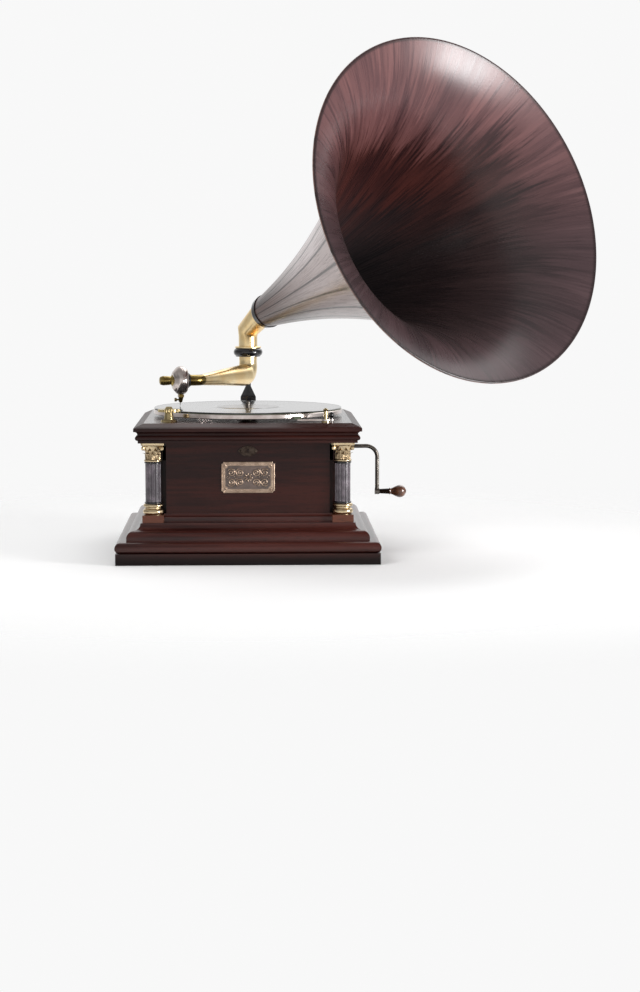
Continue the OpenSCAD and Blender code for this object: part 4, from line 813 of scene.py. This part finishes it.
def crank_handle():
    """Turned grip with a bead at the neck and a rounded end."""
    start, end = span("crank_grip", X)
    length = end - start
    bore, neck, full, nose = 3.0, 4.7, 10, 9.6
    neck_end, swell, swell_steps = 3.2, 14.8, 12
    profile = [(bore, 0), (4.4, 0), (5.3, 0.7), (5.5, 1.6), (5.0, 2.5), (neck, neck_end)]
    for i in range(1, swell_steps + 1):
        t = i / swell_steps
        profile.append((neck + (full - neck) * math.sin(t * QUARTER) ** 1.4, neck_end + swell * t))
    profile += [(r, z) for z, r in arc(length - 11, full - nose, nose, 90, 4, 12)]
    profile += [(bore, length - 1.2), (bore, length - 3)]
    place = shift(start, 0, PIVOTS["grip_spin"][Z]) @ turn(QUARTER, "Y")
    piece = solid("turned_grip", placed(turned(profile, 56), place), FINISHES["grip_wood"], sharp=40)
    seated(piece, "grip", "grip_wood", "crank_grip")


def corners(shape):
    """The shape at the four corner columns."""
    return joined([placed(shape, shift(x * CASE_HALF, y * CASE_HALF, 0)) for x in (-1, 1) for y in (-1, 1)])


def capital_cores():
    """Astragal, bell and hollow-sided abacus of each capital."""
    low, top, plate, core = CAPITAL_LOW, CAPITAL_TOP, 4.5, 2
    under = top - plate
    half_width = span("column_capitals", X)[1] - CASE_HALF
    bead = 1.6
    bell = [(core, low), (SHAFT_RADIUS, low)]
    bell += arc(SHAFT_RADIUS, low + bead, bead, -90, 90, 8)
    bell += [(11.0, low + 3.6), (10.8, low + 6), (11.4, low + 14), (13.4, low + 21), (16.0, under),
             (core, under)]
    hollow, hollow_turn, dip = 41.5, 21, 3.5
    side = arc(0, dip - half_width - hollow, hollow, 90 + hollow_turn, 90 - hollow_turn, 10)
    outline = []
    for c, d in ((1, 0), (0, 1), (-1, 0), (0, -1)):
        outline += [(c * x - d * y, d * x + c * y) for x, y in side]
    steps = ((0.9, under), (0.98, under + 0.8), (0.98, top - 1.8), (1.0, top - 1.2), (1.0, top))
    abacus = bridged([[(x * k, y * k, z) for x, y in outline] for k, z in steps], False)
    shape = corners(joined([turned(bell, 48), abacus]))
    piece = solid("capital_cores", shape, FINISHES["gilt"], sharp=30)
    seated(piece, "case", "gilt", "column_capitals")


def shaft_rings():
    """Dark ring at each end of the columns' shafts."""
    low, top = span("column_shafts", Z)
    thick, inset = 1.3, 1.7
    rings = [turned(arc(SHAFT_RADIUS, z, thick, 0, 345, 23), 48) for z in (low + inset, top - inset)]
    seated(solid("shaft_rings", corners(joined(rings)), FINISHES["black_japan"]), "case", "black_japan")


def leaf_shape(height, half_width):
    """One acanthus leaf, X outwards and Z up: ribbed, lobed at the edge, its tip rolled over."""
    across, along, thick, roll_start = 8, 18, 0.8, 0.62
    lobe, rib, cup, roll = 0.13, 0.45, 1.3, 3.4
    loops = []
    for j in range(along + 1):
        t = j / along
        curl = max(0, (t - roll_start) / (1 - roll_start))
        lobes = 1 + lobe * math.cos(t * 6 * math.pi)
        half = half_width * (0.72 + 0.3 * math.sin(math.pi * t)) * (1 - 0.75 * t ** 7) * lobes
        out = 0.2 + t * t + roll * curl ** 1.5
        up = height * (t - 0.2 * curl * curl)
        front, back = [], []
        for i in range(across + 1):
            u = 2 * i / across - 1
            ribs = rib * math.cos(2.5 * math.pi * u) * (1 - 0.5 * t)
            x = out + ribs - cup * u * u * (1 - 0.6 * curl)
            front.append((x, half * u, up))
            back.append((x - thick, half * u * 0.94, up - 0.3 * curl))
        loops.append(front + back[::-1])
    return bridged(loops, False)


def capital_leaves():
    """Two rows of leaves and four volutes round each capital's bell, repeated at the four columns."""
    leaves = 8
    scroll = [(0.3, -2.2), (2.6, -2.2), (3.3, -1.4), (2.5, -0.6), (3.3, 0), (2.5, 0.6), (3.3, 1.4),
              (2.6, 2.2), (0.3, 2.2)]
    short = pattern("short_leaf", leaf_shape(11.5, 4.4))
    tall = pattern("tall_leaf", leaf_shape(18.5, 4.2))
    volute = pattern("volute", placed(turned(scroll, 24, False), turn(QUARTER, "X")))

    def build(tree, size):
        foot = point(0.0, 0.0, size["leaf foot"])
        eye = point(0.0, 0.0, size["volute height"])
        rows = together([
            ring_of(size["short leaf"], leaves, size["leaf radius"], foot),
            ring_of(size["tall leaf"], leaves, size["leaf radius"], foot, math.pi / leaves),
            ring_of(size["volute"], 4, size["volute radius"], eye, math.pi / 4)])
        columns = Wire.node(tree, "GeometryNodeMeshGrid", {
            "Size X": size["spacing"], "Size Y": size["spacing"], "Vertices X": 2, "Vertices Y": 2})
        return Wire.node(tree, "GeometryNodeInstanceOnPoints", {"Points": columns, "Instance": rows})

    sizes = {"short leaf": short, "tall leaf": tall, "volute": volute, "leaf radius": 11.5 * MM,
             "leaf foot": (CAPITAL_LOW + 3.7) * MM, "volute radius": 19.5 * MM,
             "volute height": (CAPITAL_TOP - 8.2) * MM, "spacing": 2 * CASE_HALF * MM}
    seated(grown("capital_leaves", sizes, build, FINISHES["gilt"], sharp=50), "case", "gilt")
    dropped(short, tall, volute)


def hollow_cornered(width, height, hollow, steps):
    """A plate with a quarter circle taken out of each corner. steps are its edge as (inset, height)."""
    loops = []
    for inset, z in steps:
        w, h = width / 2 - inset, height / 2 - inset
        outline = []
        for x, y, start in ((w, -h, 180), (w, h, 270), (-w, h, 0), (-w, -h, 90)):
            outline += arc(x, y, hollow, start, start - 90, 8)
        loops.append([(x, y, z) for x, y in outline])
    return bridged(loops, False)


# The plate's own frame: X to the right, Y up and Z out of the case's front
PLATE_PLACE = shift(0, -CASE_HALF, PLATE_Z) @ turn(QUARTER, "X")


def name_plate():
    """A rimmed plate with a dark field, bare of words."""
    left, right = span("name_plate", X)
    low, high = span("name_plate", Z)
    width, height, margin = right - left, high - low, 12
    ground = hollow_cornered(width, height, 3, ((0, 0), (0, 1.5), (0.4, 1.8), (1.3, 1.8), (1.7, 1.3)))
    piece = solid("plate_ground", placed(ground, PLATE_PLACE), FINISHES["plate_brass"], sharp=40)
    seated(piece, "case", "plate_brass", "name_plate")
    field = hollow_cornered(width - margin, height - margin, 4, ((0, 1.2), (0, 1.45), (0.3, 1.5)))
    seated(solid("plate_field", placed(field, PLATE_PLACE), ENAMEL, sharp=40), "case", "plate_brass")


def plate_ornament():
    """Scrolls and rosettes on the plate's field, and a line of beads round it."""
    bead = pattern("bead", turned([(0.05, 0), (0.75, 0), (0.72, 0.3), (0.5, 0.6), (0.05, 0.7)], 12, False))
    petal_profile = [(0.05, -2), (0.5, -1.6), (0.95, -0.4), (0.9, 0.8), (0.45, 1.7), (0.05, 2)]
    petal_place = shift(4.4, 0, 0.2) @ turn(QUARTER, "Y")
    petal = pattern("petal", placed(turned(petal_profile, 12, False), petal_place))
    petals, half_petal, bead_step = 8, math.pi / 8, 2.5
    bead_z, petal_z, scroll_z = 1.2 * MM, 1.5 * MM, 1.6 * MM
    inner_scroll, outer_scroll = (12.5, 7.6, 0.4), (25.5, 7.4, 2.2)

    def build(tree, size):
        def rosette(x, share, start):
            return ring_of(size["petal"], petals, size["petal root"], (x * MM, 0, petal_z), start,
                           (share, share, 1.0))

        def scrolls(reverse, places):
            curl = Wire.node(tree, "GeometryNodeCurveSpiral", {
                "Resolution": 22, "Rotations": 1.75, "Start Radius": size["scroll eye"],
                "End Radius": size["scroll"], "Height": 0.0, "Reverse": reverse})
            wire = Wire.node(tree, "GeometryNodeCurvePrimitiveCircle", {
                "Resolution": 8, "Radius": size["rib"]})
            rib = Wire.node(tree, "GeometryNodeCurveToMesh", {
                "Curve": curl, "Profile Curve": wire, "Fill Caps": True})
            for x, y, angle in places:
                yield Wire.node(tree, "GeometryNodeTransform", {
                    "Geometry": rib, "Translation": (x * MM, y * MM, scroll_z), "Rotation": (0, 0, angle)})

        def beads(count, x, y, across):
            step = (bead_step * MM, 0, 0) if across else (0, bead_step * MM, 0)
            line = Wire.node(tree, "GeometryNodeMeshLine", {
                "Count": count, "Start Location": (x * MM, y * MM, bead_z), "Offset": step})
            return repeated(line, size["bead"])

        parts = [rosette(0, 0.62, half_petal), rosette(0, 1.15, 0.0)]
        parts += [rosette(x, 0.5, half_petal) for x in (-19, 19, -31.5, 31.5)]
        x, y, angle = inner_scroll
        far_x, far_y, far_angle = outer_scroll
        parts += scrolls(False, [(-x, y, angle), (x, -y, angle + math.pi),
                                 (-far_x, -far_y, far_angle), (far_x, far_y, far_angle + math.pi)])
        parts += scrolls(True, [(x, y, math.pi - angle), (-x, -y, -angle),
                                (far_x, -far_y, math.pi - far_angle), (-far_x, far_y, -far_angle)])
        parts += [beads(29, -35, y, True) for y in (-20, 20)]
        parts += [beads(15, x, -17.5, False) for x in (-37, 37)]
        return together(parts)

    sizes = {"bead": bead, "petal": petal, "petal root": 0.01 * MM, "scroll eye": 0.7 * MM,
             "scroll": 6.4 * MM, "rib": 1.05 * MM}
    ornament = grown("plate_ornament", sizes, build, FINISHES["plate_brass"], sharp=50, place=PLATE_PLACE)
    seated(ornament, "case", "plate_brass")
    dropped(bead, petal)


def brake_pad():
    """Felt shoe of the brake, hollowed to the platter's rim."""
    inner, outer, low, high = 151.22, 156.45, 216.75, 221.4
    pad_x, pad_y, half_length = 76.208, -134, 6.1
    centre = math.degrees(math.atan2(pad_y, pad_x))
    half = math.degrees(half_length / math.hypot(pad_x, pad_y))
    outline = arc(0, 0, inner, centre - half, centre + half, 10)
    outline += arc(0, 0, outer, centre + half, centre - half, 10)
    pad = solid("brake_shoe", extruded(outline, low, high), FINISHES["felt"], sharp=40)
    seated(pad, "brake", "felt")


def dial_ticks():
    """Raised marks round the regulator's dial."""
    marks, inner, outer = 24, 9.0, 11.0
    half_width, sunk, proud = 0.25, 0.1, 0.3
    bar = pattern("tick", extruded(rectangle(inner, -half_width, outer, half_width), -sunk, proud))

    def build(tree, size):
        return ring_of(size["bar"], marks, size["root"])

    dial_x, dial_y, _ = PIVOTS["speed_turn"]
    place = shift(dial_x, dial_y, span("regulator_dial", Z)[1])
    sizes = {"bar": bar, "root": 0.01 * MM}
    piece = grown("dial_ticks", sizes, build, FINISHES["dark_bronze"], sharp=30, place=place)
    seated(piece, "case", "dark_bronze")
    dropped(bar)


def slotted_screws(name, places, radius, slot):
    """Round-headed screws in the case's front at (point, turn) pairs, each with a slot."""
    dome = [(0.1, -0.3), (1, -0.3), (1, 0.08), (0.8, 0.34), (0.42, 0.5), (0.1, 0.53)]
    half_length, half_width = 0.72 * radius, 0.11 * radius
    slit_low, slit_high = 0.33 * radius, 0.7 * radius
    head = pattern("screw_head", turned([(r * radius, z * radius) for r, z in dome], 20, False))
    slit = pattern("screw_slot", extruded(
        rectangle(-half_length, -half_width, half_length, half_width), slit_low, slit_high))
    cut = head.modifiers.new("slot", "BOOLEAN")
    cut.operation = "DIFFERENCE"
    cut.object = slit
    head.data = evaluated_mesh(head)
    facing_front = Vector((0, -1, 0)).to_track_quat("Z", "Y").to_matrix().to_4x4()

    def build(tree, size):
        screw = Wire.node(tree, "GeometryNodeObjectInfo", {"Object": size["head"]}, "Geometry")
        screws = []
        for at, angle in places:
            facing = (facing_front @ turn(angle)).to_euler()
            screws.append(Wire.node(tree, "GeometryNodeTransform", {
                "Geometry": screw, "Translation": Vector(at) * MM, "Rotation": facing}))
        return together(screws)

    seated(grown(name, {"head": head}, build, FINISHES[slot], sharp=30), "case", slot)
    dropped(head, slit)


def front_screws():
    """Screws of the lock plate and pins of the name plate."""
    lock_x, lock_front, lock_radius = 11.2, 1.4, 1.7
    plate_x, plate_up, plate_front, pin_radius = 35, 18, 1.3, 1.9
    lock = [((x, -CASE_HALF - lock_front, LOCK_Z), 0.5 * x) for x in (-lock_x, lock_x)]
    slotted_screws("lock_screws", lock, lock_radius, "dark_bronze")
    plate = [((x, -CASE_HALF - plate_front, PLATE_Z + z), x * z)
             for x in (-plate_x, plate_x) for z in (-plate_up, plate_up)]
    slotted_screws("plate_pins", plate, pin_radius, "plate_brass")


def white_surround():
    """White to the camera, plain soft light on the machine, and in its gloss a studio: bright below, behind
    and overhead, dim at the sides."""
    ambient, white = 0.42, 0.94
    scene = bpy.context.scene
    scene.view_settings.view_transform = "Standard"
    world = bpy.data.worlds.new("studio")
    scene.world = world
    world.use_nodes = True
    tree = world.node_tree
    tree.nodes.clear()
    camera_ray = Wire.node(tree, "ShaderNodeLightPath", out="Is Camera Ray")
    glossy = camera_ray.also("Is Glossy Ray")
    through = camera_ray.also("Is Transmission Ray")
    across, away, upward = Wire.node(tree, "ShaderNodeTexCoord", out="Generated").parts()
    below = 1 - upward.rise(0.0, 0.45)
    behind = away.rise(0.35, 0.8)
    sides = across.math("ABSOLUTE").rise(0.5, 0.85) * (1 - upward.math("ABSOLUTE").rise(0.2, 0.6))
    overhead = (across * 0.3 + away * 0.62 + upward * 0.72).rise(0.86, 0.95)
    reflected = ambient + below.math("MAXIMUM", behind) * 0.44 - sides * 0.4 + overhead * 1.9
    level = ambient + glossy * (reflected - ambient)
    level = level + camera_ray.math("MAXIMUM", through) * (white - level)
    glow = Wire.node(tree, "ShaderNodeBackground", {"Color": (1, 1, 1, 1), "Strength": level})
    tree.links.new(glow.socket, tree.nodes.new("ShaderNodeOutputWorld").inputs["Surface"])


def floor_paper():
    """Pale floor that holds the shadow and fades into the surround."""
    half, drop, fade_start, fade_end = 4, 0.0005, 0.35, 1.1
    pale = Finish("floor_paper", (0.86, 0.86, 0.86, 1), roughness=0.9, specular_ior_level=0.1)
    x, y, _ = pale.place.parts()
    pale.vary("Alpha", 1 - distance(x, y).rise(fade_start, fade_end))
    sheet = bpy.data.meshes.new("floor")
    sheet.from_pydata([(x, y, 0) for x, y in rectangle(-half, -half, half, half)], [], [(0, 1, 2, 3)])
    sheet.materials.append(pale.material)
    floor = in_scene("floor", sheet)
    floor.location.z = -drop


def aimed(thing, look):
    """Turned to look along a direction, with its top up."""
    thing.rotation_euler = look.to_track_quat("-Z", "Y").to_euler()


def lamps():
    """A window at the left, a small screen at the right that shows in the gloss, and one overhead."""
    target = Vector((0, 0, 0.3))
    for name, spot, size, power, shows_in_gloss in (
            ("window", (-1.9, -2.2, 2.3), 1.6, 50, False),
            ("right_screen", (1.82, -1.02, 0.38), 0.65, 46, True),
            ("top_screen", (0.2, 0.6, 2.6), 2.2, 40, False)):
        light = bpy.data.lights.new(name, "AREA")
        light.shape = "SQUARE"
        light.size = size
        light.energy = power
        lamp = in_scene(name, light)
        lamp.location = spot
        lamp.visible_glossy = shows_in_gloss
        aimed(lamp, target - Vector(spot))


def photo_camera():
    """The photograph's camera, as fitted to the case and the horn."""
    yaw, pitch = math.radians(1.881), math.radians(6.322)
    focal_px, frame_px, sensor_width = 2058, 640, 36
    lens = bpy.data.cameras.new("photo")
    lens.sensor_fit = "HORIZONTAL"
    lens.sensor_width = sensor_width
    lens.lens = focal_px / frame_px * sensor_width
    camera = in_scene("photo", lens)
    camera.location = Vector((7.23, -3303.68, 449.13)) * MM
    level = math.cos(pitch)
    aimed(camera, Vector((math.sin(yaw) * level, math.cos(yaw) * level, -math.sin(pitch))))
    bpy.context.scene.camera = camera


horn_flare()
horn_elbow()
tone_arm()
crook()
sound_box_shell()
record_disc()
felt_mat()
crank_handle()
capital_cores()
shaft_rings()
capital_leaves()
name_plate()
plate_ornament()
brake_pad()
dial_ticks()
front_screws()
white_surround()
floor_paper()
lamps()
photo_camera()
